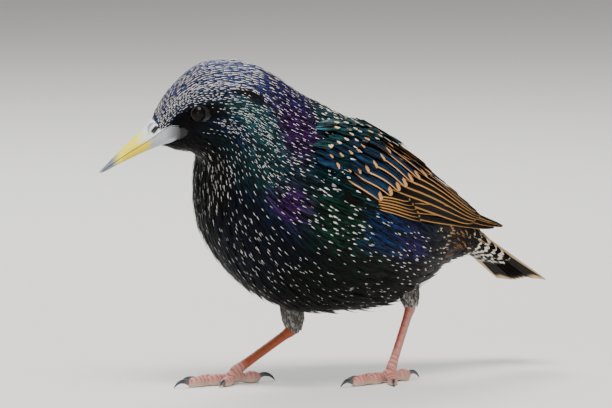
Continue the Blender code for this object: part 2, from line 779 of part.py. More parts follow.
# Legs
def limb(path, radii, across, count, squash=1.0):
    """A tube along a path, its rings across the path and its sides squashed."""
    rings = []
    last = len(path) - 1
    for i, (centre, radius) in enumerate(zip(path, radii)):
        along = (path[min(i + 1, last)] - path[max(i - 1, 0)]).normalized()
        up = along.cross(across).normalized()
        side = up.cross(along).normalized()
        rings.append(oval_ring(centre, side, up, radius * squash, radius, count))
    return tube(rings)


def leg_across(leg):
    _, left = heading_vectors(leg["heading"])
    return left


def tarsus_rings(leg, swell):
    heel = Vector(leg["heel"])
    ankle = Vector(leg["ankle"])
    along = (ankle - heel).normalized()
    across = leg_across(leg)
    depth = along.cross(across).normalized()
    side = depth.cross(along).normalized()
    rings = []
    length = (ankle - heel).length
    for share, size in TARSUS_PROFILE:
        centre = heel + along * (length * share)
        wide = TARSUS_WIDTH * size + swell
        if size > TARSUS_SWELLS_ABOVE:
            wide += TARSUS_EXTRA_WIDTH
        rings.append(oval_ring(centre, side, depth, wide, TARSUS_DEPTH * size + swell, 12))
    if swell:
        rings[0] = [p - along * swell for p in rings[0]]
        rings[-1] = [p + along * swell for p in rings[-1]]
    return rings


def toe_path(leg, side, toe):
    """Centre points of a toe from the foot joint to its tip, on the floor."""
    turn, length, root, tip = TOES[toe]
    yaw = leg["heading"] + turn * (1 if side == "right" else -1)
    ahead, _ = heading_vectors(yaw)
    ankle = Vector(leg["ankle"])
    waves = 5 if toe == "middle" else 3
    points = []
    radii = []
    for i in range(TOE_STEPS + 1):
        share = i / TOE_STEPS
        radius = root + (tip - root) * share
        height = radius * TOE_REST + max(0.0, 1 - share / TOE_RISE_END) * TOE_RISE
        points.append(Vector((ankle.x, ankle.y, height)) + ahead * (length * share))
        radii.append(radius + TOE_KNUCKLE * math.cos(share * math.pi * waves))
    return points, radii, ahead


def make_leg(side):
    leg = LEGS[side]
    across = leg_across(leg)
    knee = Vector(leg["knee"])
    heel = Vector(leg["heel"])
    ankle = Vector(leg["ankle"])
    path = [knee.lerp(heel, s) for s in THIGH_SHARES]
    thigh = new_object("thigh", *limb(path, leg["thigh"], across, 16))
    cutters = [body_object("belly", GAP), new_object("shank", *tube(tarsus_rings(leg, GAP)))]
    combine(thigh, cutters, "DIFFERENCE")
    finish(thigh, "thigh_" + side, "thigh")

    finish(new_object("tarsus", *tube(tarsus_rings(leg, 0.0))), "tarsus_" + side, "skin")

    along = (ankle - heel).normalized()
    depth = along.cross(across).normalized()
    flank = depth.cross(along).normalized()
    joint = []
    low = Vector((ankle.x - JOINT_BACK, ankle.y, JOINT_END))
    for share, wide, deep in JOINT_SECTIONS:
        centre = (ankle + along * GAP).lerp(low, share)
        joint.append(oval_ring(centre, flank, depth, wide, deep, 12))
    foot = new_object("foot", *tube(joint))
    toes = []
    for toe in TOES:
        points, radii, ahead = toe_path(leg, side, toe)
        toes.append(new_object(toe, *limb(points, radii, ahead.cross(Vector((0, 0, 1))), 8)))
    combine(foot, toes, "UNION")
    slice_off(foot, Vector((0, 0, 0)), Vector((0, 0, -1)))
    shank = new_object("shank", *tube(tarsus_rings(leg, GAP)))
    combine(foot, [shank], "DIFFERENCE")
    finish(foot, "foot_" + side, "skin")
    for toe in TOES:
        make_claw(leg, side, toe)


def make_claw(leg, side, toe):
    """A horn claw that leaves the toe's end, arches over and points to the floor."""
    points, _, ahead = toe_path(leg, side, toe)
    length = CLAW_LENGTH[toe]
    path = []
    sizes = []
    centre = points[-1] + ahead * GAP
    for i in range(CLAW_STEPS + 1):
        share = i / CLAW_STEPS
        path.append(centre)
        sizes.append(max(CLAW_RADIUS * (1 - share) ** CLAW_TAPER, CLAW_TIP))
        dive = math.radians(CLAW_START + CLAW_TURN * share)
        centre = centre + (ahead * math.cos(dive) + Vector((0, 0, -math.sin(dive)))) * (length / CLAW_STEPS)
    lift = max(0.0, CLAW_CLEARANCE - min(p.z - r for p, r in zip(path, sizes)))
    path = [p + Vector((0, 0, lift * i / CLAW_STEPS)) for i, p in enumerate(path)]
    claw = new_object("claw", *limb(path, sizes, ahead.cross(Vector((0, 0, 1))), 8, CLAW_SQUASH))
    finish(claw, "claw_" + side + "_" + toe, "claw")


def main():
    for item in list(bpy.data.objects):
        bpy.data.objects.remove(item, do_unlink=True)
    make_body()
    make_eyes()
    make_bill()
    make_wings()
    make_tail()
    for side in LEGS:
        make_leg(side)


main()
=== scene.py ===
"""The looks of a life-size common starling in winter plumage, laid out as an add-on.

The bird faces -X, its left side is towards -Y, and it stands on Z = 0. Tables below are
in millimetres; meshes are turned to metres as they are made.
"""

import math

import bmesh
import bpy
import numpy as np
from bpy.props import FloatProperty, FloatVectorProperty, IntProperty, PointerProperty
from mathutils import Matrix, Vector
from mathutils.bvhtree import BVHTree


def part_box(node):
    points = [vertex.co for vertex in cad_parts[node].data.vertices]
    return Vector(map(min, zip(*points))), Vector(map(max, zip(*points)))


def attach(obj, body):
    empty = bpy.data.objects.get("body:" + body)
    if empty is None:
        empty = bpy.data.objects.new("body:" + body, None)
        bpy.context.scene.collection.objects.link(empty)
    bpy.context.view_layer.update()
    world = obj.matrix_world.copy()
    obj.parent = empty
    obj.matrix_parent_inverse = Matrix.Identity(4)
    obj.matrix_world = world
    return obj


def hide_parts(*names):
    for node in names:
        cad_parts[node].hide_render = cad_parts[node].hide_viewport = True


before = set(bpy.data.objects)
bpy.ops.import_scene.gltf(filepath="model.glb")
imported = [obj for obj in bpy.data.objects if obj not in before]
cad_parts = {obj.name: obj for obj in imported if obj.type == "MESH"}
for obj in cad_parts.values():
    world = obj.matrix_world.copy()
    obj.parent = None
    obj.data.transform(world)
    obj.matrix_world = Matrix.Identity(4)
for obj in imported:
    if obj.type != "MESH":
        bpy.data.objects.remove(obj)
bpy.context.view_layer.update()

bl_info = {
    "name": "Starling Looks",
    "version": (1, 0, 0),
    "blender": (4, 5, 0),
    "location": "3D View > Sidebar > Starling",
    "description": "Feathers, bill, eyes and legs of a life-size common starling",
    "category": "Add Mesh",
}

MM = 0.001
BODY = "root"
UP = np.array((0.0, 0.0, 1.0))

# Body rings from the tail coverts to the face. Each ring stands in the upright plane
# that faces its heading. Columns: place x, y; heading away from -X towards +Y in
# degrees; back line as (forward, height); belly line as (forward, height); half width;
# height of the widest point as a share of the ring.
BODY_RINGS = (
    (92, 0, 0, 0, 31, -1, 28.8, 9, 0.5),
    (82, 0, 0, 0, 37.4, -1, 33.8, 9, 0.5),
    (72, 0, 0, 0, 44.2, -1, 37.8, 9, 0.5),
    (63, 0, 0, 0, 51.4, -1, 41, 9.2, 0.52),
    (57, 0, 0, 0, 57.6, 0.5, 40.2, 11.4, 0.58),
    (49.5, 0, 0, 0, 64.8, 1.5, 38.2, 14.4, 0.6),
    (40, 0, 0, 0, 71.2, 3.5, 31.6, 18.8, 0.58),
    (28, 0, 0, 0, 78.4, 6, 25.4, 24.4, 0.57),
    (14, 0, 0, 0, 86.6, 12, 24.4, 28.4, 0.57),
    (2, 0, 0, 0, 93.5, 17.5, 25.6, 30, 0.57),
    (-8, 0, 0, 0, 98.3, 25, 33, 30, 0.56),
    (-15, 0, 3, 0, 101.6, 30, 44.2, 27.8, 0.54),
    (-21, 0, 8, 0, 105.2, 31, 57, 24.4, 0.52),
    (-28, 1, 14, -0.5, 109.6, 25, 71, 20.8, 0.51),
    (-35, 3, 21, -1, 113.3, 17, 79, 17.6, 0.52),
    (-42, 6, 28, 0, 114.8, 12, 82.2, 14.8, 0.53),
    (-49, 10, 32, 1, 113.8, 10, 83.4, 11.9, 0.52),
    (-53.2, 12.6, 32, 3, 109.2, 8, 84, 8.6, 0.5),
    (-57.5, 15.3, 32, 4.4, 102, 5.4, 84.4, 6, 0.46),
    (-60.5, 17.2, 32, 4.6, 95.3, 1.8, 85.2, 4.2, 0.46),
    (-61.5, 17.8, 32, 4.7, 94.1, 1.4, 85, 3.5, 0.46),
)
TAIL_END_RING = 3

# Head frame: lengths run forward from its middle, heights from the floor.
HEAD_PLACE = (-49.0, 10.0, 0.0)
HEAD_YAW = 32.0

# Bill, as (forward, height, half width) down the mouth line, and as (forward, height)
# down the culmen and the lower edge, base to tip.
MOUTH_LINE = (
    (6.6, 92, 10.6), (11.4, 92.3, 8.4), (14.6, 91.2, 6.6), (18, 88.6, 4.7),
    (22, 85.6, 3.2), (27, 82.5, 2.3), (32, 79.1, 1.5), (35.4, 76.7, 0.9),
    (36.9, 75.8, 0.35),
)
CULMEN = (
    (9.5, 96), (12.6, 96.6), (15.4, 96.4), (18.8, 94),
    (22.4, 90.4), (27.1, 85.8), (32, 81), (35.3, 77.6), (36.8, 76.2),
)
LOWER_EDGE = (
    (6.8, 87.2), (10.6, 86.4), (13.6, 85.6), (17, 84.4),
    (21.4, 82.6), (26.6, 80.2), (31.8, 77.7), (35.1, 76), (36.2, 75.6),
)
MOUTH_GAP = 0.3
NOSTRIL_PLACE = (17.9, 90.8)
NOSTRIL_SIZE = (1.45, 0.75)
NOSTRIL_SLOPE = -49.0
# Colours along each half of the bill, as (forward, colour).
BILL_STOPS = {
    "bill_upper": (
        (6, "gape"), (9.2, "gape"), (11.5, "side"), (14, "base"), (20.5, "base"), (24.5, "middle"),
        (29.5, "middle"), (32.5, "tip"), (38, "tip"),
    ),
    "bill_lower": (
        # The grey shade stop on the lower half is painted shade.
        (6, "gape"), (9.2, "gape"), (12, "shade"), (14.6, "side"), (18.5, "side"), (20.5, "gold"),
        (28, "gold"), (30, "middle"), (32.5, "tip"), (38, "tip"),
    ),
}
# Where the coat leaves the bill bare, in the head frame: the upper and the lower edge of
# the bare strip, as (forward, height). The skin lies deeper there.
BARE_DEPTH = 1.5
BARE_TOP = (
    (7.2, 91.9), (8.4, 92.2), (10.5, 92.1), (13, 91.4), (15, 90.4), (16.2, 89.7),
    (16.9, 90.6), (17.3, 92.2), (17.9, 93.1), (18.9, 93.9), (19.4, 96),
)
BARE_LOW = (
    (7.2, 91.9), (8.4, 90.6), (9, 88.7), (9.6, 88.2), (12.5, 87.2), (16.4, 85.6), (20, 84.4),
)

# Wing sheet, from the wrist to the tip. Columns: x; top edge as (out, height); bottom
# edge as (out, height); how far the sheet bows outwards between them.
WING_SECTIONS = (
    (-24, 18, 90, 29, 66, 3),
    (-10, 17.5, 91, 31, 63.5, 5),
    (0, 14.5, 91, 31.5, 61, 6.5),
    (10, 11, 86.2, 30.3, 58, 7.5),
    (20, 7.6, 81.2, 28, 55.2, 8),
    (30, 5.2, 76.4, 24.6, 53.4, 7),
    (40, 4.2, 71.4, 21, 52.2, 5),
    (50, 4.6, 65.4, 17.4, 51.2, 3),
    (60, 6.2, 58.6, 14, 50.4, 1.5),
    (71.5, 8.8, 52.4, 10.6, 50.2, 0.3),
)

# Legs: knee, heel, foot joint and heading of the middle toe for each side.
LEGS = {
    "left": {"knee": (25.5, -10, 42), "heel": (28.2, -10.6, 25.4), "ankle": (12.8, -18, 4.4),
             "heading": -11, "thigh": (5, 4.4, 3.4, 2.1)},
    "right": {"knee": (-10.5, 10, 40), "heel": (-7.2, 11.2, 18), "ankle": (-32.8, 12.6, 4.4),
              "heading": -1, "thigh": (5, 4.7, 4, 2.4)},
}
TARSUS_DEPTH = 1.75
TARSUS_WIDTH = 1.4
# Toes: turn from the middle toe, towards the outer side; length; root radius; tip radius.
TOES = {
    "middle": (0, 22, 2.05, 1.65),
    "inner": (-31, 12.5, 1.85, 1.5),
    "outer": (42, 14.5, 1.85, 1.45),
    "hind": (184, 10.5, 2, 2),
}
# Share of a toe's length from which its end is rounded.
TOE_END = 0.93
CLAW_LENGTH = {"middle": 6.6, "inner": 5.0, "outer": 4.8, "hind": 7.4}
CLAW_RADIUS = 1.05
FLOOR_GAP = 0.05
# How far a claw starts inside its toe, and the angles that it dives through to its tip.
CLAW_ROOT = 1.6
CLAW_DIVE = (-16.0, 58.0)
# Spacing of the scutes down the leg, the step by which it narrows at the foot, and the
# spacing along the toes.
SCUTE_PITCH = 3.1
SCUTE_NARROWING = 1.3
TOE_PITCH = 1.9
# Size of the grid that fuses the pieces of a leg.
FUSE_VOXEL = 0.24
# Lids, as rings round the middle of the eye: radius, half width and thickness.
LID_EDGE = (2.80, 0.13, 0.16)
LID_SKIN = (3.12, 0.30, 0.08)
EYE_OPENING = 2.95
# The eyes, with 1 for the left side and -1 for the right.
EYES = {"eye_left": 1.0, "eye_right": -1.0}

# Where the parts of the coat end, as stations along the body or turns round it; how much
# farther back the head's feathers begin for each degree down; how deep a root sinks.
COAT_END = 1.5
UNDER_TAIL_TURN = 92.0
COVERTS_END = -10.0
HEAD_START = 112.0
HEAD_SLANT = 0.05
SIDE_TURNS = (62.0, 118.0)
THIGH_BARE = 3.8
ROOT_SINK = 0.3
# Bands under the tail: where they start, their spacing, how much of it is pale, and how
# they sweep to both sides of a middle.
BANDS_STATION = 9.0
BANDS_TURN = 84.0
BAND_PITCH = 3.7
BAND_SHARE = 0.30
BAND_SWEEP = 0.6
BAND_MIDDLE = 7.0
# Up to which x the coat lies over the wing, and how high above it.
OVERLAP_END = 12.0
OVERLAP_LIFT = 0.45


# Colours
def linear(code):
    """Turn an sRGB hex colour into linear values."""
    values = [int(code[i:i + 2], 16) / 255 for i in (1, 3, 5)]
    return tuple(v / 12.92 if v <= 0.04045 else ((v + 0.055) / 1.055) ** 2.4 for v in values)


def mixed(first, second, share):
    """One colour with a share of another laid over it."""
    return first * (1 - share) + second * share


def colour(description, code):
    """A colour setting with its default as sRGB hex."""
    return FloatVectorProperty(description=description, subtype="COLOR", size=3, min=0.0, max=1.0,
                               default=linear(code))


def length(description, millimetres):
    """A length setting, given in millimetres and kept in metres."""
    return FloatProperty(description=description, unit="LENGTH", subtype="DISTANCE", min=0.0,
                         precision=5, default=millimetres * MM)


class CoatSettings(bpy.types.PropertyGroup):
    """Sizes and colours of the body feathers."""
    seed: IntProperty(description="Start of the random draws", default=7)
    density: FloatProperty(description="Scale of the number of feather rows", default=1.0, min=0.3,
                           max=2.0)
    depth: length("How deep the skin lies under the coat on the body", 1.5)
    black: colour("Melanin black of the barbs", "#050507")
    cream: colour("Streaks of the crown", "#fff5e6")
    white: colour("Spots of the breast and flank", "#f8f8f5")
    buff: colour("Spots and edges of the mantle and rump", "#dcab72")
    rust: colour("Mottling beside the vent", "#94602c")
    slate: colour("Sheen of the crown", "#5669a8")
    violet: colour("Sheen of the nape and rear flank", "#43358a")
    purple: colour("Sheen of the neck side", "#562572")
    blue: colour("Sheen of the flank", "#1f4f96")
    teal: colour("Sheen of the cheek and mantle", "#1c6068")
    green: colour("Sheen of the breast side", "#1d5c41")
    grey: colour("Leg feathers", "#8f8c88")


class WingSettings(bpy.types.PropertyGroup):
    """Sizes and colours of the wing and tail feathers."""
    vane: colour("Black-brown of the flight feathers", "#0e0c0b")
    covert: colour("Blue sheen of the greater coverts", "#25557f")
    shoulder: colour("Teal sheen of the feathers over the wing's top", "#29777f")
    fringe: colour("Buff-orange edges of the flight feathers", "#c48f50")
    tips: colour("Wide pale tips of the coverts", "#dfa569")
    cream: colour("Pale spots over the wing's top", "#edd3b2")
    tail_edge: colour("Pale edges of the tail feathers", "#d3b48c")
    tail_vane: colour("Dark brown of the tail's underside", "#15110f")


class BillSettings(bpy.types.PropertyGroup):
    """Colours of the bill."""
    base: colour("Whitish base of the upper bill", "#eaeff3")
    middle: colour("Pale yellow middle", "#fff13a")
    gold: colour("Golden yellow of the lower edge", "#ecd200")
    tip: colour("Blue-grey tip", "#76818d")
    side: colour("Blue-grey side of the lower bill's base", "#adb7bb")
    # shade is painted shade: the grey on the lower bill's base between the pale strip by the mouth and its
    # pale lower part.
    shade: colour("Grey behind it", "#6c7173")
    gape: colour("Dark bare skin at the corner of the mouth", "#1d1b1b")
    slit: colour("Shade in the nostril", "#1d1512")


class EyeSettings(bpy.types.PropertyGroup):
    """Colours of the eye and its rim."""
    iris: colour("Dark brown iris", "#070403")
    rim: colour("Thin beaded edge of the lids", "#47413d")
    lid: colour("Dark skin of the lids", "#070708")


class LegSettings(bpy.types.PropertyGroup):
    """Colours of the legs and claws."""
    flesh: colour("Pink of the toes and the lower leg", "#d79d93")
    # orange is painted shade: it tints the upper part of the forward leg, which lies in the body's shadow.
    orange: colour("Orange-brown of the leg under stretch", "#b2521f")
    red: colour("Red-brown of the scutes", "#a3442c")
    pad: colour("Cream of the toe pads", "#dfc9b6")
    claw: colour("Dark blue-grey horn", "#34363d")
    claw_base: colour("Paler horn at the root of a claw", "#6d6a66")


class StageSettings(bpy.types.PropertyGroup):
    """Floor, lights and camera."""
    floor: colour("Pale floor", "#e4e1dc")
    azimuth: FloatProperty(description="Camera's angle round the bird", subtype="ANGLE",
                           default=math.radians(-40.0))
    elevation: FloatProperty(description="Camera's height angle", subtype="ANGLE",
                             default=math.radians(5.0))
    distance: FloatProperty(description="Camera's distance", unit="LENGTH", default=6.0, min=0.5)
    view_width: length("Width of the view at the bird", 612 / 2.85)
    aim_right: length("How far left of the bird's origin the view is centred", 8.42)
    aim_up: length("How far above the bird's origin the view is centred", 61.93)


# Curves and places
def smooth(rows, places):
    """Read a smooth curve through rows, whose first column is the place along it."""
    rows = np.asarray(rows, float)
    places = np.asarray(places, float)
    at = rows[:, 0]
    slopes = np.empty_like(rows)
    slopes[1:-1] = (rows[2:] - rows[:-2]) / (at[2:] - at[:-2])[:, None]
    slopes[0] = (rows[1] - rows[0]) / (at[1] - at[0])
    slopes[-1] = (rows[-1] - rows[-2]) / (at[-1] - at[-2])
    low = np.clip(np.searchsorted(at, places, side="right") - 1, 0, len(at) - 2)
    span = at[low + 1] - at[low]
    s = ((places - at[low]) / span)[:, None]
    s = np.clip(s, 0.0, 1.0)
    span = span[:, None]
    values = (
        (2 * s ** 3 - 3 * s ** 2 + 1) * rows[low]
        + (s ** 3 - 2 * s ** 2 + s) * span * slopes[low]
        + (3 * s ** 2 - 2 * s ** 3) * rows[low + 1]
        + (s ** 3 - s ** 2) * span * slopes[low + 1]
    )
    return values[:, 1:]


def unit(vectors):
    """Vectors scaled to a length of one."""
    return vectors / np.maximum(np.linalg.norm(vectors, axis=-1, keepdims=True), 1e-9)


def ring_turns(count):
    """Angles of evenly spaced points round a ring."""
    return 2 * math.pi * np.arange(count) / count


def heading_vectors(yaw):
    """Forward and left for a heading away from -X towards +Y."""
    turn = np.radians(yaw)
    forward = np.stack([-np.cos(turn), np.sin(turn), 0 * turn], axis=-1)
    left = np.stack([-np.sin(turn), -np.cos(turn), 0 * turn], axis=-1)
    return forward, left


def head_point(forward, height, left):
    """A point given as forward, height and left in the head's own frame."""
    ahead, side = heading_vectors(HEAD_YAW)
    base = np.array(HEAD_PLACE)
    level = np.multiply.outer(forward, ahead)
    return base + level + np.multiply.outer(height, UP) + np.multiply.outer(left, side)


def bird_shift():
    """How far the bird's tables are moved to lie in the frame, from the torso's own box."""
    low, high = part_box("torso")
    x, _, _, _, _, belly_forward, _, _, _ = BODY_RINGS[TAIL_END_RING]
    return np.array((high.x / MM - (x - belly_forward), (low.y + high.y) / 2 / MM, 0.0))


SHIFT = bird_shift()


class Hide:
    """A closed sleeve of skin, read by its place along it, towards the head, and its turn
    round it in degrees, from the back down the left side."""

    def __init__(self, points, start, step):
        self.points = points
        self.start = start
        self.step = step
        self.rows, self.columns, _ = points.shape
        middle = points.mean(axis=1, keepdims=True)
        along = np.gradient(points, axis=0) / step
        turn = 2 * math.pi / self.columns
        around = (np.roll(points, -1, axis=1) - np.roll(points, 1, axis=1)) / (2 * turn)
        normals = unit(np.cross(around, along))
        normals *= np.sign(np.sum(normals * (points - middle), axis=-1, keepdims=True).mean())
        self.normals = normals
        self.pace_along = np.maximum(np.linalg.norm(along, axis=-1), 0.25)
        self.pace_round = np.maximum(np.linalg.norm(around, axis=-1), 1.0)

    def read(self, values, along, turn):
        """Read grid values between their points."""
        i = np.clip((along - self.start) / self.step, 0, self.rows - 1.001)
        j = (turn / 360.0 * self.columns) % self.columns
        i0 = i.astype(int)
        j0 = j.astype(int) % self.columns
        j1 = (j0 + 1) % self.columns
        fi = i - i0
        fj = j - np.floor(j)
        if values.ndim == 3:
            fi = fi[..., None]
            fj = fj[..., None]
        near = values[i0, j0] * (1 - fj) + values[i0, j1] * fj
        far = values[i0 + 1, j0] * (1 - fj) + values[i0 + 1, j1] * fj
        return near * (1 - fi) + far * fi

    def places(self):
        """The grid's own places along and turns round."""
        along = self.start + self.step * np.arange(self.rows)
        turn = 360.0 * np.arange(self.columns) / self.columns
        return np.meshgrid(along, turn, indexing="ij")


def body_hide():
    """The outer form of the body, from the tail coverts to the face."""
    rows = []
    travelled = 0.0
    previous = None
    for x, y, yaw, top_f, top_z, low_f, low_z, half, widest in BODY_RINGS:
        forward, _ = heading_vectors(yaw)
        top = np.array((x, y, top_z)) + forward * top_f
        low = np.array((x, y, low_z)) + forward * low_f
        middle = (top + low) / 2
        if previous is not None:
            travelled += np.linalg.norm(middle - previous)
        previous = middle
        rows.append((travelled, *top, *low, yaw, half, widest))
    rows = np.array(rows)
    rows[:, 0] -= rows[TAIL_END_RING, 0]
    step = 1.0
    places = np.arange(math.ceil(rows[0, 0]), rows[-1, 0], step)
    values = smooth(rows, places)
    top = values[:, 0:3]
    low = values[:, 3:6]
    _, left = heading_vectors(values[:, 6])
    half = values[:, 7]
    middle = low + (top - low) * values[:, 8:9]
    columns = 144
    turn = ring_turns(columns)
    height = np.cos(turn)[None, :, None]
    reach = np.where(height > 0, (top - middle)[:, None, :], (middle - low)[:, None, :]) * height
    side = left[:, None, :] * (half[:, None] * np.sin(turn)[None, :])[..., None]
    points = middle[:, None, :] + side + reach + SHIFT
    return Hide(points, places[0], step)


def thigh_hide(side):
    """The outer form of a feathered thigh, from the heel up to the knee."""
    leg = LEGS[side]
    knee = np.array(leg["knee"])
    heel = np.array(leg["heel"])
    axis = unit(knee - heel)
    _, left = heading_vectors(leg["heading"])
    out = unit(np.cross(axis, np.cross(left, axis)))
    front = unit(np.cross(out, axis))
    reach = np.linalg.norm(knee - heel)
    radii = np.array(leg["thigh"][::-1])
    shares = np.array((-0.08, 0.15, 0.58, 1.0))
    step = 0.5
    places = np.arange(-0.08 * reach, reach, step)
    radius = np.interp(places / reach, shares, radii)
    columns = 36
    turn = ring_turns(columns)
    ring = front[None, :] * np.cos(turn)[:, None] + out[None, :] * np.sin(turn)[:, None]
    points = heel + axis * places[:, None, None] + ring[None] * radius[:, None, None] + SHIFT
    return Hide(points, places[0], step)


# Meshes
def mesh_object(name, points, faces, look, shade=60.0):
    """A mesh object from points in millimetres and arrays of equal-sided faces."""
    faces = [np.asarray(f, np.int32) for f in faces if len(f)]
    mesh = bpy.data.meshes.new(name)
    points = np.asarray(points, np.float32).reshape(-1, 3) * MM
    mesh.vertices.add(len(points))
    mesh.vertices.foreach_set("co", points.ravel())
    corners = np.concatenate([f.ravel() for f in faces])
    sizes = np.concatenate([np.full(len(f), f.shape[1], np.int32) for f in faces])
    mesh.loops.add(len(corners))
    mesh.loops.foreach_set("vertex_index", corners)
    mesh.polygons.add(len(sizes))
    starts = np.concatenate([[0], np.cumsum(sizes)[:-1]]).astype(np.int32)
    mesh.polygons.foreach_set("loop_start", starts)
    mesh.update(calc_edges=True)
    mesh.validate()
    mesh.shade_smooth()
    if shade:
        mesh.set_sharp_from_angle(angle=math.radians(shade))
    item = bpy.data.objects.new(name, mesh)
    bpy.context.scene.collection.objects.link(item)
    mesh.materials.append(look)
    return item


def add_map(item, name, places):
    """A UV map from one place for each point."""
    mesh = item.data
    corner = np.empty(len(mesh.loops), np.int32)
    mesh.loops.foreach_get("vertex_index", corner)
    layer = mesh.uv_layers.new(name=name)
    layer.data.foreach_set("uv", np.asarray(places, np.float32)[corner].ravel())


def add_grid_map(item, u, v):
    """The bake map of a grid of points, one of u and v running along each of its ways."""
    add_map(item, "OFBake", np.stack(np.broadcast_arrays(u, v), axis=-1).reshape(-1, 2))


def add_colour(item, name, values):
    """A colour with alpha for each point."""
    layer = item.data.color_attributes.new(name, "FLOAT_COLOR", "POINT")
    layer.data.foreach_set("color", np.asarray(values, np.float32).ravel())


def add_vector(item, name, values):
    """Three numbers for each point."""
    layer = item.data.attributes.new(name, "FLOAT_VECTOR", "POINT")
    layer.data.foreach_set("vector", np.asarray(values, np.float32).ravel())


def read_vectors(mesh, key):
    """Three numbers of each point."""
    values = np.empty(len(mesh.vertices) * 3, np.float32)
    mesh.vertices.foreach_get(key, values)
    return values.reshape(-1, 3)


def sleeve(rows, columns):
    """Faces of a closed sleeve over rows of points, with flat ends."""
    i, j = np.meshgrid(np.arange(rows - 1), np.arange(columns), indexing="ij")
    a = (i * columns + j).ravel()
    b = (i * columns + (j + 1) % columns).ravel()
    quads = np.stack([a, b, b + columns, a + columns], axis=1)
    last = (rows - 1) * columns
    ends = [np.arange(columns)[::-1][None, :], last + np.arange(columns)[None, :]]
    return [quads, ends[0], ends[1]]


def outward(item):
    """Turn all faces of a closed mesh outwards."""
    shape = bmesh.new()
    shape.from_mesh(item.data)
    bmesh.ops.recalc_face_normals(shape, faces=shape.faces[:])
    shape.to_mesh(item.data)
    shape.free()


def tube(name, rings, look, shade=0, v=None):
    """A closed object of rings of points, with a bake map that may be given its v."""
    rows, columns, _ = rings.shape
    item = mesh_object(name, rings, sleeve(rows, columns), look, shade)
    outward(item)
    v = np.linspace(0, 1, rows)[:, None] if v is None else v
    add_grid_map(item, (np.arange(columns) / columns)[None, :], v)
    return item


# Section of a body feather: places across it and heights, in half widths. Its under side
# is flat, so each feather is a thin closed body.
BODY_SECTION = ((-1.0, 0.0), (0.0, 0.16), (1.0, 0.0))
BODY_ROWS = (0.0, 0.16, 0.34, 0.54, 0.72, 0.86, 0.95, 1.0)
SMALL_ROWS = (0.0, 0.28, 0.58, 0.82, 1.0)
# Section of a flight feather, in half widths across and in thicknesses upwards: webs
# that arch to both sides of a raised shaft.
FLIGHT_SECTION = (
    (-1.0, 0.0), (-0.62, 0.9), (-0.3, 1.3), (-0.20, 1.35), (-0.14, 2.1), (-0.08, 1.35),
    (0.4, 1.1), (0.8, 0.6), (1.0, 0.0), (0.4, 0.2), (-0.1, 0.4), (-0.6, 0.2),
)
FLIGHT_ROWS = (0.0, 0.1, 0.2, 0.32, 0.44, 0.56, 0.67, 0.76, 0.84, 0.90, 0.95, 0.98, 1.0)
# Side of a feather's patch on the bake map.
PATCH = 0.003


def feather_mesh(name, look, rows, middles, across, normals, halves, section, heights, marks, patches):
    """Join many feathers in one mesh.

    middles, across and normals hold a point and two directions for each feather and row,
    halves their half widths, heights what one unit of section height is worth, marks the
    colours of each feather, and patches each feather's place on the unwrapped skin.
    """
    count, steps = halves.shape
    section = np.array(section)
    sides = len(section)
    out = middles[:, :, None, :] + across[:, :, None, :] * (halves[:, :, None] * section[:, 0])[..., None]
    out = out + normals[:, :, None, :] * (heights[:, :, None] * section[:, 1])[..., None]
    points = out.reshape(-1, 3)
    one = sleeve(steps, sides)[0]
    start = (np.arange(count) * steps * sides)[:, None, None]
    quads = (one[None] + start).reshape(-1, 4)
    first = (np.arange(sides)[::-1][None, None, :] + start).reshape(-1, sides)
    final = ((steps - 1) * sides + np.arange(sides)[None, None, :] + start).reshape(-1, sides)
    faces = [quads, first, final]
    item = mesh_object(name, points, faces, look, 50.0)
    u = np.broadcast_to(((section[:, 0] + 1) / 2)[None, None, :], (count, steps, sides))
    v = np.broadcast_to(np.array(rows)[None, :, None], (count, steps, sides))
    vane = np.stack([u, v], axis=-1).reshape(-1, 2)
    patch = np.repeat(patches, steps * sides, axis=0)
    add_map(item, "OFBake", patch + (vane - 0.5) * PATCH)
    add_map(item, "Vane", vane)
    for key, values in marks.items():
        spread = np.repeat(values, steps * sides, axis=0)
        if values.shape[1] == 4:
            add_colour(item, key, spread)
        else:
            add_vector(item, key, spread)
    return item


def vane_profile(rows, point):
    """Half width along a vane: point 0 gives a broad round tip, 1 a narrow pointed one."""
    v = np.array(rows)[None, :]
    point = point[:, None]
    peak = v ** (1.3 - 0.55 * point)
    form = np.sin(math.pi * np.clip(peak, 0, 1)) ** (0.5 + 0.5 * point)
    return np.maximum(form, np.where(v < 0.5, 0.14, 0.05))


def strap_profile(rows, start):
    """Half width along a flight feather: even, then rounded from the start place on."""
    v = np.array(rows)
    root = np.clip(0.55 + 3.0 * v, 0, 1)
    end = np.sqrt(np.clip(1 - ((v - start) / (1.005 - start)) ** 2, 0, 1))
    return np.maximum(root * np.where(v > start, end, 1.0), 0.05)


# Materials
KERATIN_IOR = 1.54


def set_inputs(tree, node, inputs):
    """Link the inputs that are given a socket and set the others."""
    for key, value in inputs.items():
        if isinstance(value, bpy.types.NodeSocket):
            tree.links.new(value, node.inputs[key])
        else:
            node.inputs[key].default_value = value


def add_node(tree, kind, inputs=None, **settings):
    """Add a node, set it, and set or link its inputs; returns its first output in use."""
    node = tree.nodes.new("ShaderNode" + kind)
    for key, value in settings.items():
        setattr(node, key, value)
    set_inputs(tree, node, inputs or {})
    return next(out for out in node.outputs if out.enabled)


def new_material(name):
    """A material with its surface shader; returns the material, its nodes and the shader."""
    look = bpy.data.materials.new(name)
    look.use_nodes = True
    return look, look.node_tree, look.node_tree.nodes["Principled BSDF"]


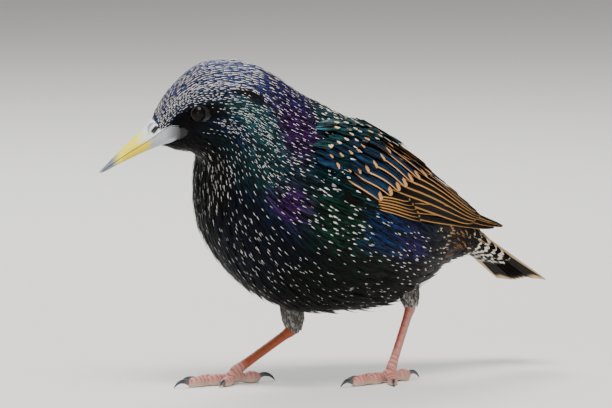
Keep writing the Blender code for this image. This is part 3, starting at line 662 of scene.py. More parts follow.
def feather_material(name, black, strands, gloss_metal, roughness, fringe_mix):
    """Barbs of keratin: melanin black under a thin film. The sheen colour is painted into the base colour
    along a fixed pattern of strands as painted highlights, and tints their metallic reflection, while
    spots and fringes are matt, unpigmented barbs."""
    look, tree, shader = new_material(name)
    vane = add_node(tree, "UVMap", uv_map="Vane")
    split = add_node(tree, "SeparateXYZ", {0: vane}).node
    u, v = split.outputs[0], split.outputs[1]
    gloss, spot, trim = (
        add_node(tree, "Attribute", attribute_name=key).node for key in ("Gloss", "Spot", "Trim")
    )
    parts = add_node(tree, "SeparateXYZ", {0: trim.outputs["Vector"]}).node
    fringe, width, draw = parts.outputs[0], parts.outputs[1], parts.outputs[2]
    signed = add_node(tree, "Math", {0: u, 1: 2.0, 2: -1.0}, operation="MULTIPLY_ADD")
    across = add_node(tree, "Math", {0: signed}, operation="ABSOLUTE")
    # Strands run along the feather; the real ones are 0.1 mm wide, these are 0.3 mm.
    lane = add_node(tree, "Math", {0: u, 1: strands}, operation="MULTIPLY")
    lane = add_node(tree, "Math", {0: draw, 1: 91.0, 2: lane}, operation="MULTIPLY_ADD")
    run = add_node(tree, "Math", {0: v, 1: 1.3}, operation="MULTIPLY")
    place = add_node(tree, "CombineXYZ", {0: lane, 1: run, 2: draw})
    strand = add_node(tree, "TexNoise", {"Vector": place, "Scale": 1.0, "Detail": 3.0,
                                         "Roughness": 0.65})
    # The bright strands are painted highlights: a fixed pattern, not where the light falls.
    painted_glint = add_node(tree, "MapRange", {0: strand, 1: 0.46, 2: 0.62, 3: 0.0, 4: 1.0})
    sheen = add_node(tree, "Math", {0: painted_glint, 1: gloss.outputs["Alpha"]}, operation="MULTIPLY")
    base = add_node(tree, "Mix", {0: sheen, 6: (*black, 1.0), 7: gloss.outputs["Color"]}, data_type="RGBA")
    # The spot sits at the very tip and narrows towards the root.
    slant = add_node(tree, "Math", {0: across, 1: -0.45, 2: 1.0}, operation="MULTIPLY_ADD")
    long = add_node(tree, "Math", {0: slant, 1: spot.outputs["Alpha"]}, operation="MULTIPLY")
    reach = add_node(tree, "Math", {0: v, 1: long}, operation="ADD")
    along = add_node(tree, "MapRange", {0: reach, 1: 0.99, 2: 1.03}, interpolation_type="SMOOTHSTEP")
    wide = add_node(tree, "Math", {0: width, 1: across}, operation="SUBTRACT")
    beside = add_node(tree, "MapRange", {0: wide, 1: -0.08, 2: 0.12}, interpolation_type="SMOOTHSTEP")
    dot = add_node(tree, "Math", {0: along, 1: beside}, operation="MULTIPLY")
    # A fringe below zero runs down the lower edge alone, one above zero down both.
    single = add_node(tree, "Math", {0: fringe, 1: 0.0}, operation="LESS_THAN")
    nearest = add_node(tree, "Mix", {0: single, 2: across, 3: signed}, data_type="FLOAT")
    share = add_node(tree, "Math", {0: fringe}, operation="ABSOLUTE")
    worn = add_node(tree, "MapRange", {0: v, 1: 0.55, 2: 1.0, 3: 1.0, 4: 0.35})
    share = add_node(tree, "Math", {0: share, 1: worn}, operation="MULTIPLY")
    ragged = add_node(tree, "MapRange", {0: strand, 3: -0.10, 4: 0.10})
    edge = add_node(tree, "Math", {0: nearest, 1: share}, operation="ADD")
    edge = add_node(tree, "Math", {0: edge, 1: ragged}, operation="ADD")
    border = add_node(tree, "MapRange", {0: edge, 1: 0.96, 2: 1.06}, interpolation_type="SMOOTHSTEP")
    rim = add_node(tree, "Math", {0: share, 1: 0.001}, operation="GREATER_THAN")
    border = add_node(tree, "Math", {0: border, 1: rim}, operation="MULTIPLY")
    pale = add_node(tree, "Math", {0: dot, 1: border}, operation="MAXIMUM")
    frayed = add_node(tree, "Math", {0: pale, 1: painted_glint}, operation="MULTIPLY")
    mixed = add_node(tree, "Mix", {0: fringe_mix, 2: frayed, 3: pale}, data_type="FLOAT")
    skin = add_node(tree, "Mix", {0: mixed, 6: base, 7: spot.outputs["Color"]}, data_type="RGBA")
    dull = add_node(tree, "Math", {0: 1.0, 1: pale}, operation="SUBTRACT")
    metal = add_node(tree, "Math", {0: sheen, 1: dull}, operation="MULTIPLY")
    metal = add_node(tree, "Math", {0: metal, 1: gloss_metal}, operation="MULTIPLY")
    rough = add_node(tree, "MapRange", {0: pale, 3: roughness, 4: 0.75})
    bump = add_node(tree, "Bump", {"Height": strand, "Strength": 0.5, "Distance": 0.0005})
    set_inputs(tree, shader, {
        "Base Color": skin, "Metallic": metal, "Roughness": rough, "Normal": bump,
        "IOR": KERATIN_IOR, "Specular IOR Level": 0.05,
    })
    return look


# Zones of the coat, as places on the body: station from the tail end towards the face in
# millimetres, turn from the back down to the belly in degrees, and how far each reaches.
# Then, as ZONE_COLUMNS names them: sheen colour and strength; spot colour, length and
# width share; share of feathers with a spot; feather length, half width, spacing along
# and across; point; lift; turn towards the belly; fringe. The last two are 0 if left off.
ZONES = (
    ("forehead", 153, 30, 4, 50, "slate", 0.75, "cream", 1.3, 0.5, 1, 3, 0.32, 1.45, 0.56, 0.8, 0.24),
    ("front crown", 145, 25, 6, 34, "slate", 0.9, "cream", 2.2, 0.38, 0.9, 4.2, 0.4, 1.95, 0.8, 0.8, 0.3),
    ("crown", 134, 12, 9, 32, "slate", 0.95, "cream", 2.7, 0.32, 0.86, 5.2, 0.46, 2.4, 0.98, 0.8, 0.36),
    ("crown side", 137, 52, 7, 12, "slate", 0.8, "cream", 2.2, 0.31, 1, 4.6, 0.44, 2.2, 0.95, 0.8, 0.34),
    ("brow", 147, 70, 5, 11, "slate", 0.4, "white", 1.2, 0.48, 1, 3, 0.33, 1.3, 0.56, 0.8, 0.26),
    ("brow rear", 138, 76, 4, 6, "slate", 0.3, "white", 1.2, 0.42, 1, 3.2, 0.36, 1.7, 0.75, 0.7, 0.28),
    ("nostrils", 153, 80, 3, 10, "slate", 0.2, "white", 1.1, 0.55, 0.95, 2.4, 0.32, 1.2, 0.54, 0.7, 0.22),
    ("lores", 143, 102, 5, 7.5, "black", 0, "white", 0, 0, 0, 2.4, 0.45, 0.8, 0.75, 0.6, 0.25),
    ("eye", 136, 97, 4, 9, "black", 0.05, "white", 0.6, 0.35, 0.15, 2.6, 0.42, 1, 0.75, 0.6, 0.28),
    # The groove zone's black, weak sheen and few spots are painted shade in the gap between feather tracts
    # behind the eye.
    ("groove", 129, 66, 3.5, 4.5, "black", 0.15, "white", 1, 0.3, 0.5, 4, 0.5, 2, 1.1, 0.7, 0.3),
    ("ear", 124, 88, 9, 15, "teal", 0.6, "white", 1.7, 0.23, 0.9, 5.6, 0.55, 2.9, 1.6, 0.9, 0.42, -12),
    ("cheek", 129, 108, 5, 9, "blue", 0.2, "white", 1.4, 0.27, 0.85, 4.8, 0.5, 2.5, 1.35, 0.9, 0.38, -10),
    ("chin", 143, 130, 6, 22, "black", 0.02, "white", 0, 0.4, 0, 3.6, 0.55, 1, 0.9, 0.8, 0.3, 20),
    ("malar", 135, 122, 4.5, 8, "teal", 0.1, "white", 1, 0.32, 0.4, 4.2, 0.5, 2.2, 1.4, 0.8, 0.36),
    ("throat", 125, 165, 12, 25, "black", 0, "white", 2, 0.34, 0.8, 9, 0.75, 3.7, 2.2, 1, 0.9, 15),
    ("throat side", 124, 126, 6, 10, "teal", 0.18, "white", 1.3, 0.34, 0.9, 6, 0.6, 2.8, 1.6, 0.9, 0.55),
    ("nape", 118, 20, 8, 32, "violet", 0.7, "cream", 1.6, 0.34, 0.95, 7.5, 0.7, 2.7, 1.35, 0.9, 0.6),
    ("neck side", 114, 66, 7, 18, "purple", 0.6, "white", 1.6, 0.32, 0.95, 8, 0.75, 3, 1.8, 1, 0.7, -10),
    ("neck low", 118, 108, 7, 12, "teal", 0.35, "white", 1.5, 0.34, 0.9, 8.5, 0.8, 3.1, 2, 1, 0.8, -5),
    ("purple patch", 107, 112, 6, 9, "purple", 0.8, "white", 1.7, 0.45, 0.8, 11, 0.95, 3.6, 2.6, 1, 1, -4),
    ("bib", 107, 155, 13, 28, "blue", 0.05, "white", 1.8, 0.42, 0.9, 12, 0.95, 3.8, 2.7, 1, 1.2, 10),
    ("breast", 82, 150, 18, 22, "green", 0.05, "white", 1.5, 0.42, 0.7, 13.5, 1, 4.8, 3.5, 1, 1.5, 10),
    ("rear belly", 46, 130, 12, 20, "black", 0, "white", 2, 0.45, 0.7, 13, 1.2, 4.6, 3.6, 0.8, 1.6, 18),
    # The belly is black; its sheen is left off and its spots thinned as painted shade of the underside.
    ("belly", 50, 175, 34, 22, "black", 0, "white", 1.5, 0.45, 0.35, 13, 1.1, 4.6, 4, 1, 1.9),
    ("flank green", 92, 104, 10, 12, "green", 0.5, "white", 2.2, 0.75, 0.85, 13, 1.2, 4, 2.9, 0.9, 1.2),
    ("flank blue", 73, 100, 9, 9, "blue", 0.6, "white", 2, 0.65, 0.5, 15, 1.2, 4.8, 3.8, 0.9, 1.2, 10),
    ("flank violet", 56, 104, 8, 9, "violet", 0.6, "white", 2, 0.65, 0.7, 14, 1.2, 4.6, 3.6, 0.9, 1.2, 15),
    ("flank low", 74, 122, 16, 8, "green", 0.1, "white", 1.7, 0.6, 0.7, 14, 1.1, 4.6, 3.6, 0.9, 1.4, 8),
    ("shoulder", 98, 78, 7, 14, "teal", 0.35, "white", 2, 0.48, 0.9, 9, 1.2, 3.7, 2.9, 0.8, 0.9),
    ("mantle", 97, 32, 11, 26, "teal", 0.45, "cream", 2, 0.62, 1, 10, 1.3, 2.5, 2, 0.6, 0.9, 10),
    ("back", 62, 10, 24, 44, "teal", 0.45, "buff", 2.2, 0.5, 0.9, 13, 2, 3.6, 3.2, 0.4, 1),
    ("rump", 26, 20, 14, 50, "teal", 0.25, "buff", 2, 0.45, 0.8, 12, 2, 4, 3.2, 0.5, 0.9),
    ("vent", 24, 118, 8, 22, "black", 0, "rust", 4.5, 0.3, 0.55, 11, 1.3, 3.6, 2.4, 0.9, 1.2, 30),
    ("over tail", 4, 20, 10, 60, "black", 0.1, "buff", 1.2, 0.9, 1, 9, 2.2, 3.8, 3.2, 0.4, 0.4, 0, 0.16),
    ("under tail", -4, 140, 15, 50, "black", 0, "cream", 0, 1, 0, 3.4, 0.75, 0.75, 0.95, 0.7, 0.35),
)
ZONE_COLUMNS = (
    "gloss", "strength", "spot", "spot_length", "spot_width", "spotted", "long", "half", "spacing",
    "across", "point", "lift", "turn", "fringe",
)


def coat_fields(hide, settings):
    """Blend the zones over the skin: one grid for each property."""
    along, turn = hide.places()
    turn = np.where(turn > 180, 360 - turn, turn)
    total = 0.0
    fields = {}
    for zone in ZONES:
        _, place, angle, reach, spread = zone[:5]
        far = ((along - place) / reach) ** 2 + ((turn - angle) / spread) ** 2
        weight = 1.0 / (0.15 + far) ** 3
        total = total + weight
        for key, value in zip(ZONE_COLUMNS, zone[5:] + (0, 0)):
            if key in ("gloss", "spot"):
                value = np.array(getattr(settings, value))
                fields[key] = fields.get(key, 0.0) + weight[..., None] * value
            else:
                fields[key] = fields.get(key, 0.0) + weight * value
    for key in ZONE_COLUMNS:
        fields[key] = fields[key] / (total[..., None] if key in ("gloss", "spot") else total)
    return fields


def feather_roots(hide, spacing, across, seed):
    """Places of the roots, in staggered rows across the lie of the coat."""
    draw = np.random.default_rng(seed)
    along, _ = hide.places()
    along = along[:, 0]
    count = hide.columns
    depth = np.cumsum((hide.pace_along * hide.step / spacing)[::-1], axis=0)[::-1]
    depth = depth - depth[-1:]
    turns = np.append(np.arange(count), count) * 360.0 / count
    found = []
    for k in range(int(depth.max())):
        line = np.array([np.interp(-(k + 0.5), -depth[:, j], along, left=np.nan, right=np.nan)
                         for j in range(count)])
        line = np.append(line, line[0])
        if np.isnan(line).all():
            break
        solid = np.where(np.isnan(line), along[0], line)
        where = hide.read(hide.points, solid, turns)
        apart = np.linalg.norm(np.diff(where, axis=0), axis=1)
        mean = (solid[1:] + solid[:-1]) / 2
        width = hide.read(across, mean, turns[:-1])
        run = np.concatenate([[0], np.cumsum(apart / width)])
        whole = max(3, round(run[-1]))
        run *= whole / run[-1]
        spots = (np.arange(whole) + 0.5 * (k % 2) + draw.uniform(-0.10, 0.10, whole)) % whole
        turn = np.interp(spots, run, turns)
        place = np.interp(turn, turns, solid)
        there = ~np.isnan(np.interp(turn, turns, line))
        place = place + draw.uniform(-0.13, 0.13, whole) * hide.read(spacing, place, turn)
        found.append(np.stack([place, turn], axis=1)[there])
    return np.concatenate(found)


def lay_feathers(hide, roots, fields, rows, seed):
    """Lead each feather from its root along the lie of the coat."""
    draw = np.random.default_rng(seed)
    along, turn = roots[:, 0], roots[:, 1]
    count = len(roots)
    value = {key: hide.read(field, along, turn) for key, field in fields.items()}
    long = value["long"] * draw.uniform(0.86, 1.14, count)
    stray = draw.normal(0.0, 1.0, count) * np.minimum(value["long"] * 0.40, 4.0)
    aim = np.radians(value["turn"]) * np.abs(np.sin(np.radians(turn))) ** 0.5
    aim = aim * np.where(turn > 180, -1.0, 1.0) + np.radians(stray)
    middles = []
    normals = []
    tail = unit((hide.points[0] - hide.points[1]).mean(axis=0))
    for step in np.diff(np.array(rows), prepend=0.0):
        pace = hide.read(hide.pace_along, along, turn)
        swing = hide.read(hide.pace_round, along, turn)
        along = along - np.cos(aim) * long * step / pace
        turn = (turn + np.degrees(np.sin(aim) * long * step / swing)) % 360.0
        beyond = np.maximum(hide.start - along, 0.0)
        middles.append(hide.read(hide.points, along, turn) + beyond[:, None] * tail)
        normals.append(unit(hide.read(hide.normals, along, turn)))
    middles = np.stack(middles, axis=1)
    normals = np.stack(normals, axis=1)
    v = np.array(rows)[None, :]
    # A few feathers stand looser than the rest, so that the coat's edge is shaggy.
    shaggy = draw.uniform(0, 1, count) < 0.15
    loose = np.where(shaggy, draw.uniform(1.2, 1.7, count), draw.uniform(0.8, 1.15, count))
    rise = (value["lift"] * loose)[:, None]
    height = rise * (1.15 * v ** 0.9 - 0.25 * v ** 4) - ROOT_SINK * (1 - v) ** 2
    height = height - value["under"][:, None]
    middles = middles + normals * height[..., None]
    return middles, normals, value, draw


def coat_marks(value, draw):
    """Sheen, spot and trim of each feather."""
    count = len(value["long"])
    strength = value["strength"] * draw.uniform(0.55, 1.25, count)
    tone = value["gloss"] * draw.uniform(0.75, 1.3, (count, 1))
    gloss = np.concatenate([tone, strength[:, None]], axis=1)
    has = draw.uniform(0, 1, count) < value["spotted"]
    share = value["spot_length"] / value["long"] * draw.uniform(0.7, 1.25, count) * has
    tone = value["spot"] * draw.uniform(0.75, 1.05, (count, 1))
    spot = np.concatenate([tone, share[:, None]], axis=1)
    fringe = np.where(value["fringe"] > 0.05, value["fringe"], 0.0)
    trim = np.stack([fringe, value["spot_width"], draw.uniform(0, 1, count)], axis=1)
    return {"Gloss": np.clip(gloss, 0, 1), "Spot": np.clip(spot, 0, 1), "Trim": trim}


def banded(marks, roots, tips, cream):
    """Cream bands across the black feathers under the tail, swept forward from its sides."""
    drop = math.radians(TAIL_DROP)
    turn = np.minimum(roots[:, 1], 360.0 - roots[:, 1])
    beneath = (roots[:, 0] < BANDS_STATION) & (turn > BANDS_TURN)
    along = tips[:, 0] * math.cos(drop) - tips[:, 2] * math.sin(drop)
    place = along + BAND_SWEEP * np.abs(np.abs(tips[:, 1]) - BAND_MIDDLE)
    pale = beneath & ((place / BAND_PITCH) % 1.0 < BAND_SHARE)
    marks["Spot"][beneath, 3] = 0.0
    marks["Spot"][pale] = (*cream * 0.85, 1.0)
    marks["Trim"][pale, 1] = 1.0


def bare_share(points, soft):
    """How far points lie in the strip beside the bill that the coat leaves bare, from 0 to
    1 over the soft distance inside its edges."""
    ahead, side = heading_vectors(HEAD_YAW)
    apart = points - SHIFT - np.array(HEAD_PLACE)
    forward = apart @ ahead
    height = apart[..., 2]
    top = np.interp(forward, *np.array(BARE_TOP).T)
    low = np.interp(forward, *np.array(BARE_LOW).T)
    share = np.minimum(top - height, height - low)
    share = np.minimum(share, forward - BARE_TOP[0][0])
    share = np.minimum(share, np.abs(apart @ side) - 1.0)
    return np.clip(share / soft, 0, 1) * (np.linalg.norm(apart, axis=-1) > 60.0)


def on_skin(hide, roots):
    """Places on the unwrapped skin."""
    reach = hide.step * (hide.rows - 1)
    return np.stack([(roots[:, 1] % 360.0) / 360.0, (roots[:, 0] - hide.start) / reach], axis=1)


def cad_tree(*names):
    """The frame's own solids, in millimetres, ready for rays."""
    points = []
    faces = []
    for name in names:
        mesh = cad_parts[name].data
        base = len(points)
        points.extend(vertex.co / MM for vertex in mesh.vertices)
        faces.extend(tuple(base + v for v in polygon.vertices) for polygon in mesh.polygons)
    return BVHTree.FromPolygons(points, faces)


# Room that the wings lie in, as low and high x and low and high z, and how far above the
# coat they are looked for.
WING_ROOM = (-30.0, 74.0, 45.0, 97.0)
WING_REACH = 16.0


def wing_cover(tree, middles, normals):
    """Height of the wings above each point of the coat, or 0 where none covers it."""
    count, steps, _ = middles.shape
    cover = np.zeros((count, steps))
    place = middles - SHIFT
    x, z = place[..., 0], place[..., 2]
    near = (x > WING_ROOM[0]) & (x < WING_ROOM[1]) & (z > WING_ROOM[2]) & (z < WING_ROOM[3])
    for i, k in zip(*np.nonzero(near)):
        start = Vector(middles[i, k] + normals[i, k] * WING_REACH)
        hit, _, _, away = tree.ray_cast(start, Vector(-normals[i, k]), WING_REACH + 2.0)
        if hit is not None:
            cover[i, k] = max(WING_REACH - away, 0.0)
    return cover


def under_wing(middles, cover):
    """Feathers whose roots the wing hides: all but those at its front and top edges."""
    place = middles[:, 0] - SHIFT
    x, z = place[:, 0], place[:, 2]
    edges = smooth(WING_SECTIONS, np.clip(x, WING_SECTIONS[0][0], WING_SECTIONS[-1][0]))
    down = (edges[:, 1] - z) / (edges[:, 1] - edges[:, 3])
    covered = cover[:, 0] > 0.05
    front = np.where(down < 0.65, -30.0, -26.0)
    hidden = covered & (x > front) & (down > 0.10) & (down < 0.97)
    return hidden | (covered & (x > 10.0))


# Pieces
def place_piece(item, slot, *nodes):
    """Let a piece ride on the body and hide the solids that it stands for; its slot is not used."""
    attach(item, BODY)
    if nodes:
        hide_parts(*nodes)


class STARLING_OT_skin(bpy.types.Operator):
    """Make the one skin under the coat, and the skins of the thighs"""
    bl_idname = "starling.skin"
    bl_label = "Skin"

    def execute(self, context):
        settings = context.scene.starling_coat
        look = skin_material(settings)
        hide = body_hide()
        fields = coat_fields(hide, settings)
        self.make(hide, fields, settings, "skin", look, -0.5, ("head", "neck", "torso"))
        for side in LEGS:
            hide = thigh_hide(side)
            fields = thigh_fields(hide, settings)
            self.make(hide, fields, settings, "thigh_skin_" + side, look, hide.start, ("thigh_" + side,))
        return {"FINISHED"}

    def make(self, hide, fields, settings, name, look, start, nodes):
        """Make one skin, as deep under the hide as its feathers lift, from a place on."""
        rows = slice(max(0, round((start - hide.start) / hide.step)), hide.rows)
        depth = np.minimum(fields["lift"] * 1.25 + 0.1, settings.depth / MM)
        depth = depth + BARE_DEPTH * bare_share(hide.points, 0.5)
        points = (hide.points - hide.normals * depth[..., None])[rows]
        ends = []
        for end, inner in ((points[:1], points[1:2]), (points[-1:], points[-2:-1])):
            middle = end.mean(axis=1, keepdims=True)
            ends.append(middle + (end - middle) * 0.55 + (end - inner) * 0.8)
        points = np.concatenate([ends[0], points, ends[1]])
        item = tube(name, points, look)
        gloss = np.concatenate([fields["gloss"], fields["strength"][..., None]], axis=-1)[rows]
        paled = (fields["spotted"] * fields["spot_length"] / fields["long"])[..., None]
        spot = np.concatenate([fields["spot"], paled], axis=-1)[rows]
        for key, values in (("Gloss", gloss), ("Spot", spot)):
            values = np.concatenate([values[:1], values, values[-1:]])
            add_colour(item, key, values.reshape(-1, 4))
        place_piece(item, "plumage", *nodes)


def skin_material(settings):
    """Down between the feathers: matt black keratin, with the coat's sheen painted in as a faint tint and
    its spots as faint flecks, so that a gap in the coat reads as shade."""
    look, tree, shader = new_material("melanin down, fluffed")
    gloss = add_node(tree, "Attribute", attribute_name="Gloss").node
    spot = add_node(tree, "Attribute", attribute_name="Spot").node
    # A share of the sheen colour is painted into the matt base colour: painted sheen.
    painted_sheen = add_node(tree, "Math", {0: gloss.outputs["Alpha"], 1: 0.35}, operation="MULTIPLY")
    base = add_node(tree, "Mix", {0: painted_sheen, 6: (*settings.black, 1.0), 7: gloss.outputs["Color"]},
                    data_type="RGBA")
    fleck = add_node(tree, "TexNoise", {"Scale": 900.0, "Detail": 2.0})
    share = add_node(tree, "Math", {0: fleck, 1: spot.outputs["Alpha"]}, operation="MULTIPLY")
    mixed = add_node(tree, "Mix", {0: share, 6: base, 7: spot.outputs["Color"]}, data_type="RGBA")
    bump = add_node(tree, "Bump", {"Height": fleck, "Strength": 0.4, "Distance": 0.0004})
    set_inputs(tree, shader, {"Base Color": mixed, "Normal": bump, "Roughness": 0.8,
                              "Specular IOR Level": 0.0})
    return look


def thigh_fields(hide, settings):
    """The short grey-white feathers of a thigh."""
    shape = (hide.rows, hide.columns)
    values = {
        "strength": 0.95, "spot_length": 1.6, "spot_width": 1.0, "spotted": 0.3, "long": 3.4,
        "half": 0.6, "spacing": 0.85, "across": 0.75, "point": 0.7, "lift": 0.5, "turn": 0.0,
        "fringe": 0.0, "under": 0.45,
    }
    fields = {key: np.full(shape, value) for key, value in values.items()}
    low = 1 - np.clip(hide.places()[0] / 9.0, 0, 1)[..., None]
    fields["gloss"] = np.array(settings.grey) * (0.7 + 0.9 * low)
    fields["spot"] = np.array(settings.grey) * (0.9 + 1.1 * low)
    return fields


class STARLING_OT_coat(bpy.types.Operator):
    """Lay the body feathers, row by row: silky plain ones and spotted ones over them"""
    bl_idname = "starling.coat"
    bl_label = "Body feathers"

    def execute(self, context):
        settings = context.scene.starling_coat
        self.look = feather_material("glossy barbs, preened", settings.black, 4.0, 0.6, 0.42, 0.9)
        self.tree = cad_tree("wing_left", "wing_right")
        down = feather_material("downy barbs, grey", np.array(settings.grey) * 0.16, 4.0, 0.0, 0.6, 0.9)
        hide = body_hide()
        spotted = coat_fields(hide, settings)
        spotted["under"] = spotted["lift"] * 0.9
        spotted["spacing"] = spotted["spacing"] / settings.density
        spotted["across"] = spotted["across"] / settings.density
        plain = dict(spotted)
        plain["spacing"] = np.clip(np.sqrt(spotted["spacing"] * spotted["across"]) * 0.5, 0.68, 1.55)
        plain["across"] = plain["spacing"] * 0.92
        plain["half"] = np.clip(spotted["half"] * 0.62, 0.3, 0.85)
        plain["lift"] = spotted["lift"] * 0.82
        plain["long"] = spotted["long"] * 0.92
        plain["spotted"] = spotted["spotted"] * 0
        plain["point"] = spotted["point"] * 0 + 1.0
        spotted["lift"] = spotted["lift"] * 1.12 + 0.1
        for layer, fields, seed in (("under", plain, settings.seed), ("over", spotted, settings.seed + 1)):
            roots = feather_roots(hide, fields["spacing"], fields["across"], seed)
            beneath = np.abs(roots[:, 1] - 180.0) < UNDER_TAIL_TURN
            roots = roots[(roots[:, 0] > COAT_END) | (beneath & (roots[:, 0] > COVERTS_END))]
            turn = np.minimum(roots[:, 1], 360 - roots[:, 1])
            head = roots[:, 0] > HEAD_START - HEAD_SLANT * turn
            above = turn < SIDE_TURNS[0]
            below = turn >= SIDE_TURNS[1]
            tracts = {"head": head, "back": ~head & above, "side": ~head & ~above & ~below,
                      "breast": ~head & below}
            for name, chosen in tracts.items():
                rows = SMALL_ROWS if name == "head" else BODY_ROWS
                for half, part in (("left", roots[:, 1] < 180), ("right", roots[:, 1] >= 180)):
                    title = "_".join(("coat", layer, name, half))
                    self.lay(hide, roots[chosen & part], fields, rows, title, settings, "plumage")
        for side in LEGS:
            hide = thigh_hide(side)
            fields = thigh_fields(hide, settings)
            roots = feather_roots(hide, fields["spacing"], fields["across"], settings.seed + 3)
            roots = roots[roots[:, 0] > hide.start + THIGH_BARE]
            self.look = down
            self.lay(hide, roots, fields, SMALL_ROWS, "coat_thigh_" + side, settings, "thigh_feathers")
        return {"FINISHED"}

    def lay(self, hide, roots, fields, rows, name, settings, slot):
        """Make one piece of the coat from its roots."""
        seed = settings.seed + sum(name.encode())
        middles, normals, value, draw = lay_feathers(hide, roots, fields, rows, seed)
        marks = coat_marks(value, draw)
        if slot == "plumage":
            banded(marks, roots, middles[:, -1] - SHIFT, np.array(settings.cream))
        wide = value["half"] * draw.uniform(0.85, 1.15, len(roots))
        halves = wide[:, None] * vane_profile(rows, value["point"])
        cover = wing_cover(self.tree, middles, normals)
        off_bill = (bare_share(middles, 0.4) < 0.5).all(axis=1)
        keep = ~under_wing(middles, cover) & ~over_eye(middles) & off_bill
        # Feathers at the front and top of the wing lie over it, all others beneath it.
        before = middles[:, :1, 0] - SHIFT[0] < OVERLAP_END
        lifted = np.where((cover > 0) & before, cover + OVERLAP_LIFT, 0.0)
        rise = np.maximum.accumulate(lifted, axis=1)
        middles = middles + normals * rise[..., None]
        across = unit(np.cross(normals, np.gradient(middles, axis=1)))
        across = unit(across + normals * draw.normal(0.0, 0.07, (len(roots), 1, 1)))
        marks = {key: values[keep] for key, values in marks.items()}
        item = feather_mesh(name, self.look, rows, middles[keep], across[keep], normals[keep],
                            halves[keep], BODY_SECTION, halves[keep], marks, on_skin(hide, roots)[keep])
        place_piece(item, slot)


def over_eye(middles):
    """Feathers that would lie over an eye."""
    _, side = heading_vectors(HEAD_YAW)
    result = np.zeros(len(middles), bool)
    for node, way in EYES.items():
        low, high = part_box(node)
        centre = np.array((low + high) / 2) / MM
        apart = middles - centre
        out = apart @ (side * way)
        flat = np.linalg.norm(apart - out[..., None] * side * way, axis=-1)
        result |= ((flat < EYE_OPENING) & (out > 0)).any(axis=1)
    return result


# Wings
# How far the sheet stays off the body at its top edge, and what is added farther down.
SHEET_REST = (0.8, 0.5)


def wing_point(side, x, v):
    """A point of the bowed wing sheet and the way it faces, before the body pushes it out."""
    top_out, top_z, low_out, low_z, bow = smooth(WING_SECTIONS, [x])[0]
    top = np.array((x, top_out, top_z))
    low = np.array((x, low_out, low_z))
    edge = unit(low - top)
    outward_way = np.array((0.0, -edge[2], edge[1]))
    middle = (top + low) / 2 + outward_way * (2 * bow)
    place = top * (1 - v) ** 2 + middle * (2 * v * (1 - v)) + low * v ** 2
    down = unit((middle - top) * (1 - v) + (low - middle) * v)
    face = np.array((0.0, -down[2], down[1]))
    flip = np.array((1.0, side, 1.0))
    return place * flip, face * flip


def wing_frame(tree, side, x, v):
    """A point of the wing sheet in the frame, with its outward and downward directions."""
    place, face = wing_point(side, x, v)
    ahead, _ = wing_point(side, x + 1.0, v)
    behind, _ = wing_point(side, x - 1.0, v)
    along = unit(ahead - behind)
    face = unit(face - along * face.dot(along))
    place = place + SHIFT
    rest = SHEET_REST[0] + SHEET_REST[1] * min(1.0, 3 * v)
    near, normal, _, _ = tree.find_nearest(Vector(place))
    near = np.array(near)
    normal = np.array(normal)
    if (place - near).dot(normal) < rest:
        place = near + normal * rest
    down = np.cross(along, face) * -side
    return place, face, down


def between(values, share):
    """Read a list of points, evenly spaced, at a share of its length."""
    values = np.array(values, float)
    spot = share * (len(values) - 1)
    low = min(int(spot), len(values) - 2)
    return values[low] + (values[low + 1] - values[low]) * (spot - low)


